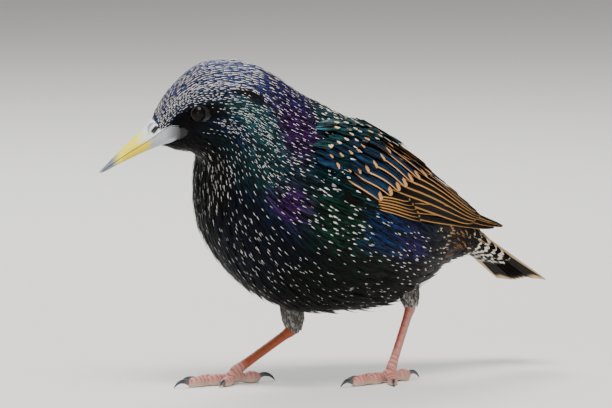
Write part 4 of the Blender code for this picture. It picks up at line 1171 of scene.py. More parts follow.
# Feather tiers of the wing, from the deepest to the outermost, each from its uppermost
# feather to its lowest one. Places are (x, share across the sheet). Half widths and lifts
# are given for the upper and the lower end of a tier; the lifts above the sheet come
# first for the roots and then for the tips. A strap has an even width and is rounded from
# the given share of its length on; a leaf is rounded all along, and more pointed near 1.
# Strength, fringe, spot and width are 0 where they aren't given.
SCAPULAR = {"half": (2.2, 1.9), "leaf": 0.25, "gloss": "shoulder", "strength": 0.6, "edge": "cream",
            "spot": 0.23, "width": 0.74}
WING_TIERS = {
    "primaries": {
        "count": 7, "roots": ((2, 0.86), (-8, 0.96)),
        "tips": ((61.5, 0.56), (64.5, 0.53), (67.5, 0.51), (70, 0.5), (71.5, 0.56), (71, 0.72),
                 (66, 0.88)),
        "half": (2.2, 1.6), "lift": ((-0.1, -0.5), (0.05, -0.45)), "strap": 0.62, "gloss": "vane",
        "edge": "fringe", "fringe": -0.22,
    },
    "secondaries": {
        "count": 10, "roots": ((15, 0.1), (-6, 0.82)),
        "tips": ((40, 0.08), (47.5, 0.22), (54.5, 0.38), (59, 0.5), (58, 0.62), (55.5, 0.73),
                 (52, 0.84)),
        "half": (3.4, 2.2), "lift": ((0.3, 0), (0.6, 0.1)), "strap": 0.8, "gloss": "vane",
        "edge": "fringe", "fringe": -0.26, "spot": 0.015, "width": 1,
    },
    "primary_coverts": {
        "count": 6, "roots": ((-10, 0.85), (-7, 0.97)),
        "tips": ((10, 0.83), (13, 0.88), (15, 0.92), (16.5, 0.965)),
        "half": (1.3, 1.1), "lift": ((0.5, 0.4), (0.9, 0.8)), "strap": 0.75, "gloss": "vane",
        "edge": "fringe", "fringe": -0.32, "spot": 0.05, "width": 1,
    },
    "greater_coverts": {
        "count": 10,
        "roots": ((16, 0.03), (13, 0.08), (9.5, 0.15), (4, 0.23), (-1, 0.31), (-5, 0.39),
                  (-9, 0.47), (-12, 0.54), (-15, 0.61), (-18.5, 0.68)),
        "tips": ((34, 0.14), (32.5, 0.28), (29.5, 0.42), (24, 0.5), (18, 0.57), (13, 0.63),
                 (9, 0.7), (5, 0.76), (1, 0.82), (-3.5, 0.88)),
        "half": (2.6, 2.1), "lift": ((0.8, 0.6), (1.15, 0.95)), "strap": 0.84, "gloss": "covert",
        "strength": 0.6, "edge": "tips", "fringe": -0.27, "spot": 0.15, "width": 1,
    },
    "alula": {
        "count": 3, "roots": ((-20, 0.84), (-19, 0.94)),
        "tips": ((-6, 0.9), (-4.5, 0.97)),
        "half": (1.9, 1.6), "lift": ((0.7, 0.7), (1.1, 1.1)), "strap": 0.8, "gloss": "vane",
        "edge": "vane",
    },
    "median_coverts": {
        "count": 9,
        "roots": ((4, 0.03), (-3, 0.14), (-7.5, 0.26), (-12, 0.36), (-16.5, 0.44),
                  (-20.5, 0.47), (-25, 0.47), (-29, 0.45)),
        "tips": ((14, 0.16), (8, 0.3), (3, 0.43), (-2.5, 0.54), (-7, 0.6), (-11, 0.63),
                 (-16, 0.62), (-21, 0.57)),
        "half": (2.6, 2.3), "lift": ((1.2, 0.9), (1.6, 1.4)), "strap": 0.78, "gloss": "covert",
        "strength": 0.5, "edge": "tips", "spot": 0.17, "width": 0.85,
    },
    "lesser_coverts_rear": {
        "count": 8,
        "roots": ((-4, 0.02), (-10, 0.12), (-15, 0.24), (-19, 0.3), (-24, 0.33), (-29, 0.36)),
        "tips": ((4.5, 0.1), (-1.5, 0.24), (-7, 0.35), (-11.5, 0.42), (-17, 0.45), (-23, 0.46)),
        "half": (2.2, 1.8), "lift": ((1.5, 1.2), (2, 1.8)), "leaf": 0.08, "gloss": "covert",
        "strength": 0.45, "edge": "tips", "spot": 0.24, "width": 0.72,
    },
    "lesser_coverts_front": {
        "count": 6,
        "roots": ((-12, 0), (-18, 0.1), (-23, 0.2), (-29, 0.25)),
        "tips": ((-4, 0.08), (-10, 0.2), (-15.5, 0.29), (-22, 0.33)),
        "half": (2.1, 1.7), "lift": ((1.6, 0.3), (2.2, 1.8)), "leaf": 0.08, "gloss": "shoulder",
        "strength": 0.45, "edge": "cream", "spot": 0.26, "width": 0.7,
    },
    "scapulars_low": {
        "count": 8,
        "roots": ((6, 0.06), (0, 0.05), (-6, 0.05), (-12, 0.04), (-19, 0.03), (-26, 0.03)),
        "tips": ((18, 0.26), (11, 0.26), (5, 0.24), (-1.5, 0.21), (-8.5, 0.17), (-16, 0.12)),
        "lift": ((1.9, -0.8), (2.5, 1.9)), **SCAPULAR,
    },
    "scapulars_high": {
        "count": 8,
        "roots": ((2, 0), (-4, -0.01), (-10, -0.02), (-17, -0.03), (-24, -0.03)),
        "tips": ((14, 0.15), (7, 0.14), (0, 0.12), (-7, 0.09), (-15, 0.05)),
        "lift": ((2.2, -0.8), (2.8, 1.9)), **SCAPULAR,
    },
}
TILT = 0.45
VANE_THICKNESS = 0.17
# Where the patches of a wing's or the tail's feathers lie in a row on the bake map: start,
# reach and the number of places in it.
WING_PATCHES = (0.03, 0.94, 80.0)
TAIL_PATCHES = (0.04, 0.9, 12.0)


def make_plumes(name, look, feathers, thickness, row, slot, node):
    """Make one piece of flight feathers in place of a node. Each feather gives its rows of
    points, normals, ways across and half widths, then its sheen, spot and trim."""
    middles, normals, across, halves, *marks = (np.array(part) for part in zip(*feathers))
    marks = {key: np.clip(values, -1, 1) for key, values in zip(("Gloss", "Spot", "Trim"), marks)}
    start, reach, room = row
    count = len(feathers)
    patches = np.stack([start + reach * np.arange(count) / room, np.full(count, 0.5)], axis=1)
    item = feather_mesh(name, look, FLIGHT_ROWS, middles, across, normals, halves, FLIGHT_SECTION,
                        thickness * np.minimum(1.0, halves / 0.8), marks, patches)
    outward(item)
    place_piece(item, slot, node)


class STARLING_OT_wings(bpy.types.Operator):
    """Make both folded wings, feather by feather in their tiers"""
    bl_idname = "starling.wings"
    bl_label = "Wings"

    def execute(self, context):
        settings = context.scene.starling_wings
        look = feather_material("webs of flight feathers, zipped barbs", settings.vane, 9.0, 0.45, 0.42,
                                0.75)
        tree = cad_tree("torso", "neck")
        for name, side in (("wing_left", -1.0), ("wing_right", 1.0)):
            self.make(name, side, tree, look, settings)
        return {"FINISHED"}

    def make(self, name, side, tree, look, settings):
        """Make one wing; its side is -1 on the left and 1 on the right."""
        draw = np.random.default_rng(11)
        v = np.array(FLIGHT_ROWS)
        feathers = []
        for tier in WING_TIERS.values():
            for k in range(tier["count"]):
                share = k / (tier["count"] - 1)
                root = between(tier["roots"], share)
                tip = between(tier["tips"], share)
                half = between(tier["half"], share)
                root_lift, tip_lift = between(np.array(tier["lift"]).T, share)
                frames = [wing_frame(tree, side, *(root + (tip - root) * at)) for at in FLIGHT_ROWS]
                point, face, down = (np.array(part) for part in zip(*frames))
                lift = root_lift + (tip_lift - root_lift) * v
                middles = point + face * lift[:, None]
                tilted = unit(down + face * TILT / half)
                normals = unit(np.cross(np.gradient(middles, axis=0), tilted)) * side
                if "strap" in tier:
                    form = strap_profile(FLIGHT_ROWS, tier["strap"])
                else:
                    form = vane_profile(FLIGHT_ROWS, np.array([tier["leaf"]]))[0]
                    form = np.maximum(form, 0.5 * (v < 0.5))
                halves = half * form * draw.uniform(0.96, 1.04)
                gloss = np.array(getattr(settings, tier["gloss"])) * draw.uniform(0.8, 1.2)
                edge = np.array(getattr(settings, tier["edge"])) * draw.uniform(0.92, 1.05)
                strength, fringe, spot, width = (
                    tier.get(key, 0.0) for key in ("strength", "fringe", "spot", "width")
                )
                feathers.append((middles, normals, tilted, halves, (*gloss, strength), (*edge, spot),
                                 (fringe, width, draw.uniform())))
        make_plumes(name + "_feathers", look, feathers, VANE_THICKNESS, WING_PATCHES, "wing_feathers",
                    name)


# Tail
TAIL_ROOT = (34.0, 0.0, 67.4)
TAIL_DROP = 32.0
TAIL_LENGTH = 66.8
TAIL_PER_SIDE = 6
TAIL_STEP = 0.30
TAIL_TIP_REACH = 7.2
TAIL_ROOT_REACH = 7.0
TAIL_SPREAD = 1.25
TAIL_ROLL = 1.8
TAIL_NOTCH = -1.4
TAIL_THICKNESS = 0.15
VANE_WIDTH = 9.4
PAST_MIDDLE = 1.2
# The outermost feather: how much shorter it is, and then its spot and fringe before those
# of the others.
OUTER_SHORTER = 0.6
TAIL_SPOTS = (0.05, 0.03)
TAIL_FRINGES = (-0.80, -0.16)


class STARLING_OT_tail(bpy.types.Operator):
    """Make the tail's twelve feathers, the outer ones lowest"""
    bl_idname = "starling.tail"
    bl_label = "Tail"

    def execute(self, context):
        settings = context.scene.starling_wings
        look = feather_material("webs of tail feathers, worn", settings.tail_vane, 9.0, 0.2, 0.75, 0.8)
        drop = math.radians(TAIL_DROP)
        along = np.array((math.cos(drop), 0.0, -math.sin(drop)))
        rise = np.array((math.sin(drop), 0.0, math.cos(drop)))
        draw = np.random.default_rng(5)
        v = np.array(FLIGHT_ROWS)
        form = np.maximum(strap_profile(FLIGHT_ROWS, 0.965), 0.88)
        feathers = []
        for k in range(TAIL_PER_SIDE):
            last = k == TAIL_PER_SIDE - 1
            spot, fringe = (pair[0 if last else 1] for pair in (TAIL_SPOTS, TAIL_FRINGES))
            reach = TAIL_LENGTH - TAIL_NOTCH * (1 - k / (TAIL_PER_SIDE - 2)) - OUTER_SHORTER * last
            for side in (-1.0, 1.0):
                outer = TAIL_ROOT_REACH + (TAIL_TIP_REACH - TAIL_ROOT_REACH) * v + TAIL_SPREAD * k * v
                inner = np.maximum(outer - VANE_WIDTH, -PAST_MIDDLE)
                # The tail is rolled a little, so that its right side hangs lower.
                roll = TAIL_ROLL * k / TAIL_PER_SIDE * v if side > 0 else 0.0
                depth = TAIL_STEP * k * (0.45 + 0.55 * v) + roll
                point = np.array(TAIL_ROOT) + SHIFT + along * (reach * v)[:, None]
                point = point - rise * depth[:, None]
                point[:, 1] += side * (outer + inner) / 2
                gloss = np.array(settings.tail_vane) * draw.uniform(0.8, 1.2)
                normals = np.broadcast_to(rise, point.shape)
                across = np.broadcast_to((0.0, side, 0.0), point.shape)
                feathers.append((point, normals, across, (outer - inner) / 2 * form, (*gloss, 0.0),
                                 (*settings.tail_edge, spot), (fringe, 1.0, draw.uniform())))
        make_plumes("tail_feathers", look, feathers, TAIL_THICKNESS, TAIL_PATCHES, "tail_feathers", "tail")
        return {"FINISHED"}


# Bill
def bill_points(edge_line, lift, shrink):
    """Rings from inside the face to the tip, between the mouth line and an outer edge."""
    count = 72
    rows = [(i, *mouth, *edge) for i, (mouth, edge) in enumerate(zip(MOUTH_LINE, edge_line))]
    fine = smooth(rows, np.linspace(0, len(rows) - 1, 150))
    turn = np.pi * np.arange(count + 1) / count
    base_f, base_z, half, edge_f, edge_z = fine.T
    share = np.sin(turn) ** 0.85
    forward = base_f[:, None] + (edge_f - base_f)[:, None] * share
    height = base_z[:, None] + lift + (edge_z - base_z - lift)[:, None] * share
    # Behind the nostrils only a strip beside the mouth stays clear of the face above it,
    # while the lower half keeps a full, flat side.
    behind = np.clip((18.0 - base_f) / 4.0, 0, 1)[:, None]
    tuck = 1 + (2.5 if lift > 0 else -0.6) * behind
    left = half[:, None] * shrink * np.sign(np.cos(turn)) * np.abs(np.cos(turn)) ** tuck
    if lift > 0:
        above = np.clip((height - base_z[:, None] - 0.3) / 0.4, 0, 1)
        left = left * (1 - 0.42 * behind * above * above * (3 - 2 * above))
    # A low hump between the halves' flat faces closes each ring inside the mouth.
    back = turn[1:-1][::-1]
    inner_f = np.broadcast_to(base_f[:, None], (len(fine), len(back)))
    inner_z = np.broadcast_to(base_z[:, None] + lift, (len(fine), len(back)))
    inner_l = half[:, None] * shrink * np.cos(back)
    return (np.concatenate([forward, inner_f], axis=1), np.concatenate([height, inner_z], axis=1),
            np.concatenate([left, inner_l], axis=1), count)


def bill_material():
    """Horn of the bill: a smooth keratin sheath, translucent and a little waxy, that goes
    from whitish over yellow to blue-grey at the tip, with fine growth lines."""
    look, tree, shader = new_material("keratin horn, worn satin")
    tint = add_node(tree, "Attribute", attribute_name="Tint").node
    fine = add_node(tree, "TexNoise", {"Scale": 700.0, "Detail": 4.0, "Roughness": 0.6})
    mottle = add_node(tree, "MapRange", {0: fine, 1: 0.3, 2: 0.7, 3: 0.88, 4: 1.06})
    base = add_node(tree, "Mix", {0: 1.0, 6: tint.outputs["Color"], 7: mottle}, data_type="RGBA",
                    blend_type="MULTIPLY")
    bump = add_node(tree, "Bump", {"Height": fine, "Strength": 0.15, "Distance": 0.0002})
    rough = add_node(tree, "MapRange", {0: tint.outputs["Alpha"], 3: 0.85, 4: 0.36})
    set_inputs(tree, shader, {
        "Base Color": base, "Normal": bump, "Roughness": rough, "IOR": KERATIN_IOR,
        "Subsurface Weight": 0.06, "Subsurface Radius": (0.001, 0.0008, 0.0006),
        "Subsurface Scale": 0.4,
    })
    return look


class STARLING_OT_bill(bpy.types.Operator):
    """Make the two halves of the bill, with the nostrils and their lids"""
    bl_idname = "starling.bill"
    bl_label = "Bill"

    def execute(self, context):
        settings = context.scene.starling_bill
        look = bill_material()
        self.make("bill_upper", CULMEN, MOUTH_GAP / 2, 1.0, look, settings)
        self.make("bill_lower", LOWER_EDGE, -MOUTH_GAP / 2, 0.97, look, settings)
        return {"FINISHED"}

    def make(self, name, edge_line, lift, shrink, look, settings):
        """Make one half of the bill, from the mouth line to its edge line."""
        forward, height, left, count = bill_points(edge_line, lift, shrink)
        if name == "bill_upper":
            pit, lid, groove = self.nostril(forward, height)
            outside = np.arange(forward.shape[1]) <= count
            left = left - np.sign(left) * outside * (pit * 1.1 - lid * 0.5 + groove * 0.3)
        points = head_point(forward, height, left) + SHIFT
        item = tube(name + "_horn", points, look, 55.0)
        tint = self.tint(name, forward, height, settings)
        add_colour(item, "Tint", tint.reshape(-1, 4))
        place_piece(item, "bill", name)

    def nostril(self, forward, height):
        """Shares of the slit, of the swollen lid before it and of the furrow before that."""
        slope = math.radians(NOSTRIL_SLOPE)
        ahead = forward - NOSTRIL_PLACE[0]
        above = height - NOSTRIL_PLACE[1]
        run = ahead * math.cos(slope) + above * math.sin(slope)
        rise = -ahead * math.sin(slope) + above * math.cos(slope)
        long, tall = NOSTRIL_SIZE
        pit = np.exp(-(run / long) ** 4 - (rise / tall) ** 4)
        lid = np.exp(-(run / (long + 0.3)) ** 4 - ((rise - 1.15 + 0.22 * run ** 2) / 0.5) ** 2)
        groove = np.exp(-(run / (long + 0.9)) ** 4 - ((rise - 2.1 + 0.22 * run ** 2) / 0.42) ** 2)
        return pit, lid, groove

    def tint(self, name, forward, height, settings):
        """Colour at each point, by how far along the bill and how high it lies."""
        stops = BILL_STOPS[name]
        at = [stop for stop, _ in stops]
        values = np.array([getattr(settings, key) for _, key in stops])
        tint = np.stack([np.interp(forward, at, values[:, c]) for c in range(3)], axis=-1)
        mouth = np.interp(forward, *np.array(MOUTH_LINE)[:, :2].T)

        def blend(share, key):
            """The tint with a share of another colour laid over it."""
            share = np.clip(share, 0, 1)[..., None]
            return mixed(tint, np.array(getattr(settings, key)), share)

        if name == "bill_lower":
            strip = np.clip((17.5 - forward) / 3, 0, 1) * np.clip((forward - 10.0) / 4, 0, 1)
            tint = blend((height - mouth + 0.40) / 0.35 * strip, "side")
            low = np.interp(forward, *np.array(BARE_LOW).T)
            under = np.clip((forward - 10.5) / 3.5, 0, 1) * np.clip((17.0 - forward) / 2, 0, 1)
            tint = blend((low + 1.1 - height) / 0.5 * under, "side")
        else:
            tint = blend((mouth + 1.5 - height) * np.exp(-((forward - 25.5) / 4.5) ** 4) * 0.8, "gold")
            pit, lid, groove = self.nostril(forward, height)
            # The furrow before the lid gets the tip's blue-grey as painted shade.
            tint = blend(groove, "tip")
            tint = blend(lid, "base")
            tint = blend(pit * 1.6, "slit")
        # Alpha says how far the surface is polished horn and not the bare skin behind it.
        horn = np.clip((forward - 9.5) / 2.5, 0, 1)[..., None]
        return np.concatenate([tint, horn], axis=-1)


# Eyes
def eye_material(settings):
    """Wet cornea over a dark iris: a clear coat gives the one sharp highlight."""
    look, tree, shader = new_material("cornea over brown iris, wet")
    ring = add_node(tree, "Attribute", attribute_name="Ring").node
    split = add_node(tree, "SeparateXYZ", {0: ring.outputs["Vector"]}).node
    pupil = add_node(tree, "MapRange", {0: split.outputs[0], 1: 0.30, 2: 0.36},
                     interpolation_type="SMOOTHSTEP")
    rim = add_node(tree, "MapRange", {0: split.outputs[0], 1: 0.62, 2: 0.74, 3: 1.0, 4: 0.0},
                   interpolation_type="SMOOTHSTEP")
    iris = add_node(tree, "Math", {0: pupil, 1: rim}, operation="MULTIPLY")
    fleck = add_node(tree, "TexNoise", {"Vector": ring.outputs["Vector"], "Scale": 9.0, "Detail": 3.0})
    shade = add_node(tree, "MapRange", {0: fleck, 3: 0.5, 4: 1.3})
    part = add_node(tree, "Math", {0: iris, 1: shade}, operation="MULTIPLY")
    base = add_node(tree, "Mix", {0: part, 6: (0.003, 0.003, 0.003, 1.0), 7: (*settings.iris, 1.0)},
                    data_type="RGBA")
    set_inputs(tree, shader, {
        "Base Color": base, "Roughness": 0.3, "Specular IOR Level": 0.05,
        "Coat Weight": 0.35, "Coat Roughness": 0.03, "Coat IOR": 1.28,
    })
    return look


def lid_material(name, tone):
    """Bare skin of the lids: thin and matt, with fine beads."""
    look, tree, shader = new_material(name)
    beads = add_node(tree, "TexVoronoi", {"Scale": 2600.0})
    shade = add_node(tree, "MapRange", {0: beads, 1: 0.0, 2: 0.7, 3: 1.15, 4: 0.55})
    base = add_node(tree, "Mix", {0: 1.0, 6: (*tone, 1.0), 7: shade}, data_type="RGBA",
                    blend_type="MULTIPLY")
    bump = add_node(tree, "Bump", {"Height": beads, "Strength": 0.3, "Distance": 0.0002})
    set_inputs(tree, shader, {"Base Color": base, "Normal": bump, "Roughness": 0.8,
                              "Specular IOR Level": 0.0})
    return look


class STARLING_OT_eyes(bpy.types.Operator):
    """Make the eyeballs and the thin rims of the lids"""
    bl_idname = "starling.eyes"
    bl_label = "Eyes"

    def execute(self, context):
        settings = context.scene.starling_eyes
        ball = eye_material(settings)
        edge = lid_material("bare lid edge, beaded", settings.rim)
        skin = lid_material("bare lid skin, dark", settings.lid)
        for node, way in EYES.items():
            self.make(node, way, ball, edge, skin)
        return {"FINISHED"}

    def make(self, node, way, ball, edge, skin):
        """Make one eye with its lids."""
        low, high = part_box(node)
        centre = np.array((low + high) / 2) / MM
        radius = (high.z - low.z) / 2 / MM
        ahead, side = heading_vectors(HEAD_YAW)
        axis = side * way
        rows, columns = 40, 48
        polar = np.linspace(0.02, math.pi - 0.02, rows)[:, None]
        turn = ring_turns(columns)[None, :]
        # The cornea bulges a little over the iris.
        reach = radius * (0.985 + 0.03 * np.exp(-(polar / 0.6) ** 4))
        spread = reach * np.sin(polar)
        flat = ahead * np.cos(turn)[..., None] + UP * np.sin(turn)[..., None]
        points = centre + axis * (reach * np.cos(polar))[..., None] + flat * spread[..., None]
        item = tube(node + "_ball", points, ball, v=polar / math.pi)
        places = np.stack(np.broadcast_arrays(polar, np.cos(turn), np.sin(turn)), axis=-1)
        add_vector(item, "Ring", places.reshape(-1, 3))
        place_piece(item, "eye", node)
        self.ring(node.replace("eye", "lid_edge"), centre, axis, ahead, radius, *LID_EDGE, edge)
        self.ring(node.replace("eye", "lid_skin"), centre, axis, ahead, radius, *LID_SKIN, skin)

    def ring(self, name, centre, axis, ahead, radius, middle, half, thick, look):
        """A ring of skin that follows the eyeball, a little longer than it is tall."""
        beads, section = 96, 10
        turn = ring_turns(beads)[:, None]
        around = ring_turns(section)[None, :]
        size = half * (1 + 0.10 * np.cos(turn * 40))
        reach = middle + size * np.cos(around)
        out = np.sqrt(np.maximum(radius ** 2 - reach ** 2, 0.0)) + thick * (0.6 + np.sin(around))
        wide = reach * (1 + 0.05 * np.cos(turn) ** 2)
        flat = ahead * (np.cos(turn) * wide)[..., None] + UP * (np.sin(turn) * reach * 0.98)[..., None]
        points = centre + flat + axis * (out - 0.2 * np.cos(turn) ** 2)[..., None]
        i, j = np.meshgrid(np.arange(beads), np.arange(section), indexing="ij")
        a = (i * section + j).ravel()
        b = (i * section + (j + 1) % section).ravel()
        c = (((i + 1) % beads) * section + (j + 1) % section).ravel()
        d = (((i + 1) % beads) * section + j).ravel()
        item = mesh_object(name, points, [np.stack([a, b, c, d], axis=1)], look, 0)
        outward(item)
        add_grid_map(item, (np.arange(beads) / beads)[:, None], (np.arange(section) / section)[None, :])
        place_piece(item, "plumage")


# Legs
def limb_points(path, radii, across, squash, count=24):
    """Rings of points along a path, its sides squashed."""
    path = np.array(path)
    along = unit(np.gradient(path, axis=0))
    up = unit(np.cross(along, across))
    side = unit(np.cross(up, along))
    turn = ring_turns(count)[None, :]
    radii = np.array(radii)[:, None]
    return (path[:, None] + side[:, None] * (radii * squash * np.sin(turn))[..., None]
            + up[:, None] * (radii * np.cos(turn))[..., None])


def toe_path(leg, side, toe, steps=30):
    """Centre points of a toe from the foot joint to its tip, on the floor, with their radii
    and the ways ahead and across."""
    turn, reach, root, tip = TOES[toe]
    yaw = leg["heading"] + turn * (1 if side == "right" else -1)
    ahead, across = heading_vectors(yaw)
    share = np.linspace(0, 1, steps + 1)
    radius = root + (tip - root) * share
    waves = 5 if toe == "middle" else 3
    knuckle = 0.62 * np.cos(share * math.pi * waves)
    height = radius * 0.88 + np.maximum(0.0, 1 - share * 2.6) * 0.9
    base = np.array((leg["ankle"][0], leg["ankle"][1], 0.0))
    points = base + ahead * (reach * share)[:, None] + UP * height[:, None]
    return points, radius + knuckle * 0.6, ahead, across


def leg_material(settings):
    """Leg skin: dry scales of keratin over flesh, with cream pads below and grooves
    between the scutes that hold the darker tone."""
    look, tree, shader = new_material("scaled leg skin, dry")
    tint = add_node(tree, "Attribute", attribute_name="Tint").node
    fine = add_node(tree, "TexVoronoi", {"Scale": 1500.0}, feature="DISTANCE_TO_EDGE")
    cell = add_node(tree, "MapRange", {0: fine, 1: 0.0, 2: 0.16, 3: 0.72, 4: 1.0})
    cloud = add_node(tree, "TexNoise", {"Scale": 420.0, "Detail": 3.0})
    patch = add_node(tree, "MapRange", {0: cloud, 1: 0.52, 2: 0.66, 3: 0.0, 4: 0.55})
    mottled = add_node(tree, "Mix", {0: patch, 6: tint.outputs["Color"], 7: (*settings.red, 1.0)},
                       data_type="RGBA")
    base = add_node(tree, "Mix", {0: 1.0, 6: mottled, 7: cell}, data_type="RGBA", blend_type="MULTIPLY")
    bump = add_node(tree, "Bump", {"Height": cell, "Strength": 0.4, "Distance": 0.0003})
    set_inputs(tree, shader, {
        "Base Color": base, "Normal": bump, "Roughness": 0.46, "IOR": 1.48,
        "Subsurface Weight": 0.12, "Subsurface Radius": (0.002, 0.0008, 0.0005),
        "Subsurface Scale": 0.5,
    })
    return look


class STARLING_OT_legs(bpy.types.Operator):
    """Make the scaled legs with their toes, each fused in one surface"""
    bl_idname = "starling.legs"
    bl_label = "Legs"

    def execute(self, context):
        settings = context.scene.starling_legs
        look = leg_material(settings)
        for side in LEGS:
            self.make(side, look, settings)
        return {"FINISHED"}

    def make(self, side, look, settings):
        """Make one leg from its limb, its ankle and its toes."""
        leg = LEGS[side]
        _, left = heading_vectors(leg["heading"])
        heel = np.array(leg["heel"])
        ankle = np.array(leg["ankle"])
        shares = (-0.12, -0.03, 0.02, 0.08, 0.16, 0.5, 0.84, 0.93, 1.0, 1.06)
        sizes = (0.8, 1.05, 1.22, 1.18, 1.0, 0.95, 1.0, 1.12, 1.2, 0.9)
        fine = np.linspace(shares[0], shares[-1], 60)
        path = heel + (ankle - heel) * fine[:, None]
        size = smooth(list(zip(shares, sizes)), fine)[:, 0]
        pieces = [limb_points(path, TARSUS_DEPTH * size, left, TARSUS_WIDTH / TARSUS_DEPTH)]
        joint = np.linspace(-0.2, 1.1, 12)
        low = np.array((ankle[0] - 0.6, ankle[1], 1.4))
        knot = np.interp(joint, (-0.2, 0.0, 0.5, 0.9, 1.1), (0.9, 1.5, 1.95, 1.8, 1.2))
        pieces.append(limb_points(ankle + (low - ankle) * joint[:, None], knot, left, 0.92))
        lines = []
        for toe in TOES:
            points, radii, _, across = toe_path(leg, side, toe)
            share = np.linspace(0, 1, len(radii))
            ends = np.sqrt(np.clip(1 - ((share - TOE_END) / 0.075) ** 2, 0.15, 1))
            ends[share < TOE_END] = 1.0
            pieces.append(limb_points(points, radii * ends, across, 0.95))
            lines.append(points)
        faces = []
        base = 0
        for piece in pieces:
            rows, columns, _ = piece.shape
            faces.extend(f + base for f in sleeve(rows, columns))
            base += rows * columns
        points = np.concatenate([piece.reshape(-1, 3) for piece in pieces])
        points[:, 2] = np.maximum(points[:, 2], 0.06)
        item = mesh_object("leg_" + side, points + SHIFT, faces, look, 0)
        outward(item)
        self.fuse(item)
        self.scales(item, leg, lines, look, settings)
        place_piece(item, "leg_skin", "tarsus_" + side, "foot_" + side)

    def fuse(self, item):
        """Make one surface of the limb's pieces and smooth its joints."""
        step = item.modifiers.new("fuse", "REMESH")
        step.mode = "VOXEL"
        step.voxel_size = FUSE_VOXEL * MM
        step = item.modifiers.new("ease", "SMOOTH")
        step.factor = 0.5
        step.iterations = 5
        graph = bpy.context.evaluated_depsgraph_get()
        mesh = bpy.data.meshes.new_from_object(item.evaluated_get(graph))
        item.modifiers.clear()
        item.data = mesh

    def scales(self, item, leg, lines, look, settings):
        """Raise the scutes down the front of the leg and over the toes, and tint them."""
        mesh = item.data
        count = len(mesh.vertices)
        points = read_vectors(mesh, "co") / MM - SHIFT
        normals = read_vectors(mesh, "normal")
        heel = np.array(leg["heel"])
        ankle = np.array(leg["ankle"])
        axis = unit(ankle - heel)
        ahead, _ = heading_vectors(leg["heading"])
        front = unit(ahead - axis * ahead.dot(axis))
        reach = (points - heel) @ axis
        from_leg = np.linalg.norm(points - heel - reach[:, None] * axis, axis=1)
        total = np.linalg.norm(ankle - heel)
        on_leg = np.clip((total + 1.0 - reach) / 1.5, 0, 1) * (from_leg < 3.4)
        facing = np.clip((normals @ front) * 1.6, 0, 1)
        low_part = np.clip((reach - total * 0.72) / 2.0, 0, 1)
        pitch = SCUTE_PITCH - SCUTE_NARROWING * low_part
        phase = (reach / pitch) % 1.0
        plate = np.minimum(1.0, 5 * phase) * (1 - 0.35 * phase)
        rise = on_leg * facing * (plate - 0.6) * (0.16 + 0.12 * low_part)
        best = np.full(count, 1e9)
        toe_rise = np.zeros(count)
        wrap = np.clip(normals @ front + 0.9, 0, 1) * low_part
        gap = np.exp(-(np.minimum(phase, 1 - phase) / 0.16) ** 2)
        groove = on_leg * np.maximum(facing * 0.8, wrap) * gap
        for line in lines:
            start = line[0]
            way = line[-1] - line[0]
            way[2] = 0.0
            span = np.linalg.norm(way)
            way = way / span
            run = (points - start) @ way
            aside = np.linalg.norm((points - start - run[:, None] * way)[:, :2], axis=1)
            score = aside + np.maximum(0, -run) + np.maximum(0, run - span)
            mine = score < best
            best = np.where(mine, score, best)
            share = (run / TOE_PITCH) % 1.0
            scute = np.minimum(1.0, 4 * share) * (1 - 0.3 * share)
            above = np.clip(normals[:, 2] * 1.5, 0, 1)
            toe_rise = np.where(mine, above * (scute - 0.6) * 0.45, toe_rise)
            gap = np.exp(-(np.minimum(share, 1 - share) / 0.13) ** 2)
            groove = np.where(mine & (on_leg < 0.5), np.clip(normals[:, 2] + 0.5, 0, 1) * gap, groove)
        on_toe = (1 - on_leg) * (points[:, 2] < 4.2)
        rise = rise + on_toe * toe_rise
        pads = on_toe * np.clip(-normals[:, 2] * 2, 0, 1)
        points = points + normals * rise[:, None]
        points[:, 2] = np.maximum(points[:, 2], 0.02)
        mesh.vertices.foreach_set("co", ((points + SHIFT) * MM).astype(np.float32).ravel())
        mesh.update()
        flesh, red, pad, orange = np.array((settings.flesh, settings.red, settings.pad, settings.orange))
        # The leg that is drawn forward lies in the body's shadow, so its upper part is painted
        # orange-brown as painted shade; the other shows a pink side with a darker front edge.
        shaded_by_body = leg is LEGS["right"]
        high = np.clip((total * (0.93 if shaded_by_body else 0.80) - reach) / 3.0, 0, 1) * on_leg
        warm = high * (0.95 if shaded_by_body else 0.15 + 0.75 * np.clip((normals @ front) * 2.2 - 1.1, 0, 1))
        bands = groove * (0.55 + 0.30 * low_part) + 0.32 * on_toe * np.clip(normals[:, 2], 0, 1)
        paler = np.clip(pads + 0.2 * on_toe * (1 - np.abs(normals[:, 2])), 0, 1)
        tint = mixed(flesh, orange if shaded_by_body else red, warm[:, None])
        tint = mixed(tint, red, np.clip(bands, 0, 1)[:, None])
        tint = mixed(tint, pad, paler[:, None])
        mesh.shade_smooth()
        mesh.materials.clear()
        mesh.materials.append(look)
        add_colour(item, "Tint", np.concatenate([tint, np.ones((count, 1))], axis=1))


# Claws
def claw_material():
    """Horn of the claws: dense keratin, dark, polished by wear at the curve."""
    look, tree, shader = new_material("keratin claw, polished")
    tint = add_node(tree, "Attribute", attribute_name="Tint").node
    grain = add_node(tree, "TexNoise", {"Scale": 1200.0, "Detail": 3.0})
    shade = add_node(tree, "MapRange", {0: grain, 1: 0.3, 2: 0.7, 3: 0.8, 4: 1.15})
    base = add_node(tree, "Mix", {0: 1.0, 6: tint.outputs["Color"], 7: shade}, data_type="RGBA",
                    blend_type="MULTIPLY")
    bump = add_node(tree, "Bump", {"Height": grain, "Strength": 0.12, "Distance": 0.0002})
    set_inputs(tree, shader, {"Base Color": base, "Normal": bump, "Roughness": 0.28, "IOR": KERATIN_IOR})
    return look


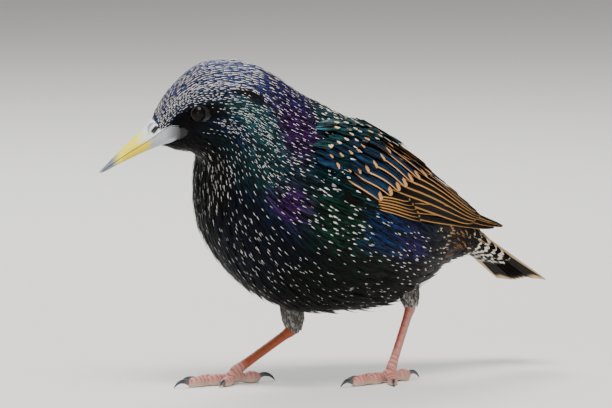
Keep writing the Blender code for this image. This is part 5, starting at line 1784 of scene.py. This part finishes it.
class STARLING_OT_claws(bpy.types.Operator):
    """Make the eight curved claws"""
    bl_idname = "starling.claws"
    bl_label = "Claws"

    def execute(self, context):
        settings = context.scene.starling_legs
        look = claw_material()
        for side in LEGS:
            for toe in TOES:
                self.make(side, toe, look, settings)
        return {"FINISHED"}

    def make(self, side, toe, look, settings):
        """Make one claw, bent down from inside its toe to the floor."""
        points, _, ahead, across = toe_path(LEGS[side], side, toe)
        reach = CLAW_LENGTH[toe] + CLAW_ROOT
        steps = 24
        share = np.linspace(0, 1, steps + 1)
        out = np.clip((share * reach - CLAW_ROOT) / CLAW_LENGTH[toe], 0, 1)
        dive = np.radians(CLAW_DIVE[0] + (CLAW_DIVE[1] - CLAW_DIVE[0]) * out)
        move = ahead * np.cos(dive)[:, None] - UP * np.sin(dive)[:, None]
        path = points[-1] - ahead * 1.3 + np.cumsum(move * (reach / steps), axis=0)
        size = np.maximum(CLAW_RADIUS * (1 - share) ** 0.62, 0.03)
        size[:3] *= (0.75, 0.9, 1.0)
        low = (path[:, 2] - size).min()
        if low < FLOOR_GAP:
            path[:, 2] += (FLOOR_GAP - low) * share
        rings = limb_points(path, size, across, 0.72, 20) + SHIFT
        rows, columns, _ = rings.shape
        name = "claw_" + side + "_" + toe
        item = tube(name + "_horn", rings, look)
        mix = np.clip((share - 0.05) / 0.35, 0, 1)[:, None]
        tint = mixed(np.array(settings.claw_base), np.array(settings.claw), mix)
        tint = np.repeat(np.concatenate([tint, np.ones((rows, 1))], axis=1), columns, axis=0)
        add_colour(item, "Tint", tint)
        place_piece(item, "claw", name)


# Stage
class STARLING_OT_stage(bpy.types.Operator):
    """Set the pale floor, the soft lights and the camera"""
    bl_idname = "starling.stage"
    bl_label = "Stage"

    def execute(self, context):
        settings = context.scene.starling_stage
        self.floor(settings)
        self.lights(context)
        self.camera(context, settings)
        return {"FINISHED"}

    def floor(self, settings):
        """A matt painted floor: nothing but soft shade."""
        look, tree, shader = new_material("matt paint, rolled")
        grain = add_node(tree, "TexNoise", {"Scale": 60.0, "Detail": 3.0})
        rough = add_node(tree, "MapRange", {0: grain, 3: 0.75, 4: 0.9})
        set_inputs(tree, shader, {"Base Color": (*settings.floor, 1.0), "Roughness": rough})
        wide = 8000.0
        points = [(-wide, -wide, 0), (wide, -wide, 0), (wide, wide, 0), (-wide, wide, 0)]
        item = mesh_object("floor", points, [[(0, 1, 2, 3)]], look, 0)

    def lights(self, context):
        """Soft boxes: a key from high on the camera's left, a fill and a rim behind."""
        boxes = (
            ("key", (-0.35, -0.45, 1.25), 0.7, 26.0, (1.0, 0.97, 0.93)),
            ("fill", (-1.3, -0.9, 0.35), 0.8, 5.0, (0.93, 0.96, 1.0)),
            ("rim", (0.45, 0.8, 0.9), 0.6, 14.0, (0.95, 0.98, 1.0)),
        )
        for name, place, size, power, tone in boxes:
            lamp = bpy.data.lights.new(name, "AREA")
            lamp.size = size
            lamp.energy = power
            lamp.color = tone
            item = bpy.data.objects.new(name, lamp)
            item.location = place
            aim = Vector((0, 0, 0.06)) - Vector(place)
            item.rotation_euler = aim.to_track_quat("-Z", "Y").to_euler()
            item.visible_camera = False
            context.scene.collection.objects.link(item)
        world = bpy.data.worlds.new("studio")
        world.use_nodes = True
        set_inputs(world.node_tree, world.node_tree.nodes["Background"],
                   {"Color": (0.86, 0.88, 0.92, 1.0), "Strength": 0.4})
        context.scene.world = world

    def camera(self, context, settings):
        """A long lens at the angle the bird is seen from."""
        azimuth, elevation = settings.azimuth, settings.elevation
        back = Vector((math.sin(azimuth) * math.cos(elevation), -math.cos(azimuth) * math.cos(elevation),
                       math.sin(elevation)))
        right = Vector((math.cos(azimuth), math.sin(azimuth), 0.0))
        up = back.cross(right)
        aim = Vector(SHIFT * MM) - right * settings.aim_right + up * settings.aim_up
        data = bpy.data.cameras.new("camera")
        data.sensor_width = 36.0
        data.lens = data.sensor_width * settings.distance / settings.view_width
        data.clip_end = 40.0
        item = bpy.data.objects.new("camera", data)
        item.location = aim + back * settings.distance
        item.rotation_euler = (-back).to_track_quat("-Z", "Y").to_euler()
        context.scene.collection.objects.link(item)
        context.scene.camera = item


class STARLING_PT_panel(bpy.types.Panel):
    """Lists the settings and the steps"""
    bl_label = "Starling"
    bl_idname = "STARLING_PT_panel"
    bl_space_type = "VIEW_3D"
    bl_region_type = "UI"
    bl_category = "Starling"

    def draw(self, context):
        layout = self.layout
        for key in GROUPS:
            group = getattr(context.scene, key)
            box = layout.box()
            for name in group.bl_rna.properties.keys():
                if name not in ("rna_type", "name"):
                    box.prop(group, name, text=name.replace("_", " ").capitalize())
        for step in STEPS:
            layout.operator(step.bl_idname)


GROUPS = {
    "starling_coat": CoatSettings, "starling_wings": WingSettings, "starling_bill": BillSettings,
    "starling_eyes": EyeSettings, "starling_legs": LegSettings, "starling_stage": StageSettings,
}
STEPS = (
    STARLING_OT_skin, STARLING_OT_coat, STARLING_OT_wings, STARLING_OT_tail, STARLING_OT_bill,
    STARLING_OT_eyes, STARLING_OT_legs, STARLING_OT_claws, STARLING_OT_stage,
)


def register():
    for kind in (*GROUPS.values(), *STEPS, STARLING_PT_panel):
        bpy.utils.register_class(kind)
    for key, kind in GROUPS.items():
        setattr(bpy.types.Scene, key, PointerProperty(type=kind))


def unregister():
    for key in GROUPS:
        delattr(bpy.types.Scene, key)
    for kind in reversed((*GROUPS.values(), *STEPS, STARLING_PT_panel)):
        bpy.utils.unregister_class(kind)


def main():
    """Register the add-on and run its steps."""
    register()
    bpy.ops.starling.stage()
    bpy.ops.starling.skin()
    bpy.ops.starling.coat()
    bpy.ops.starling.wings()
    bpy.ops.starling.tail()
    bpy.ops.starling.bill()
    bpy.ops.starling.eyes()
    bpy.ops.starling.legs()
    bpy.ops.starling.claws()


if __name__ == "__main__":
    main()
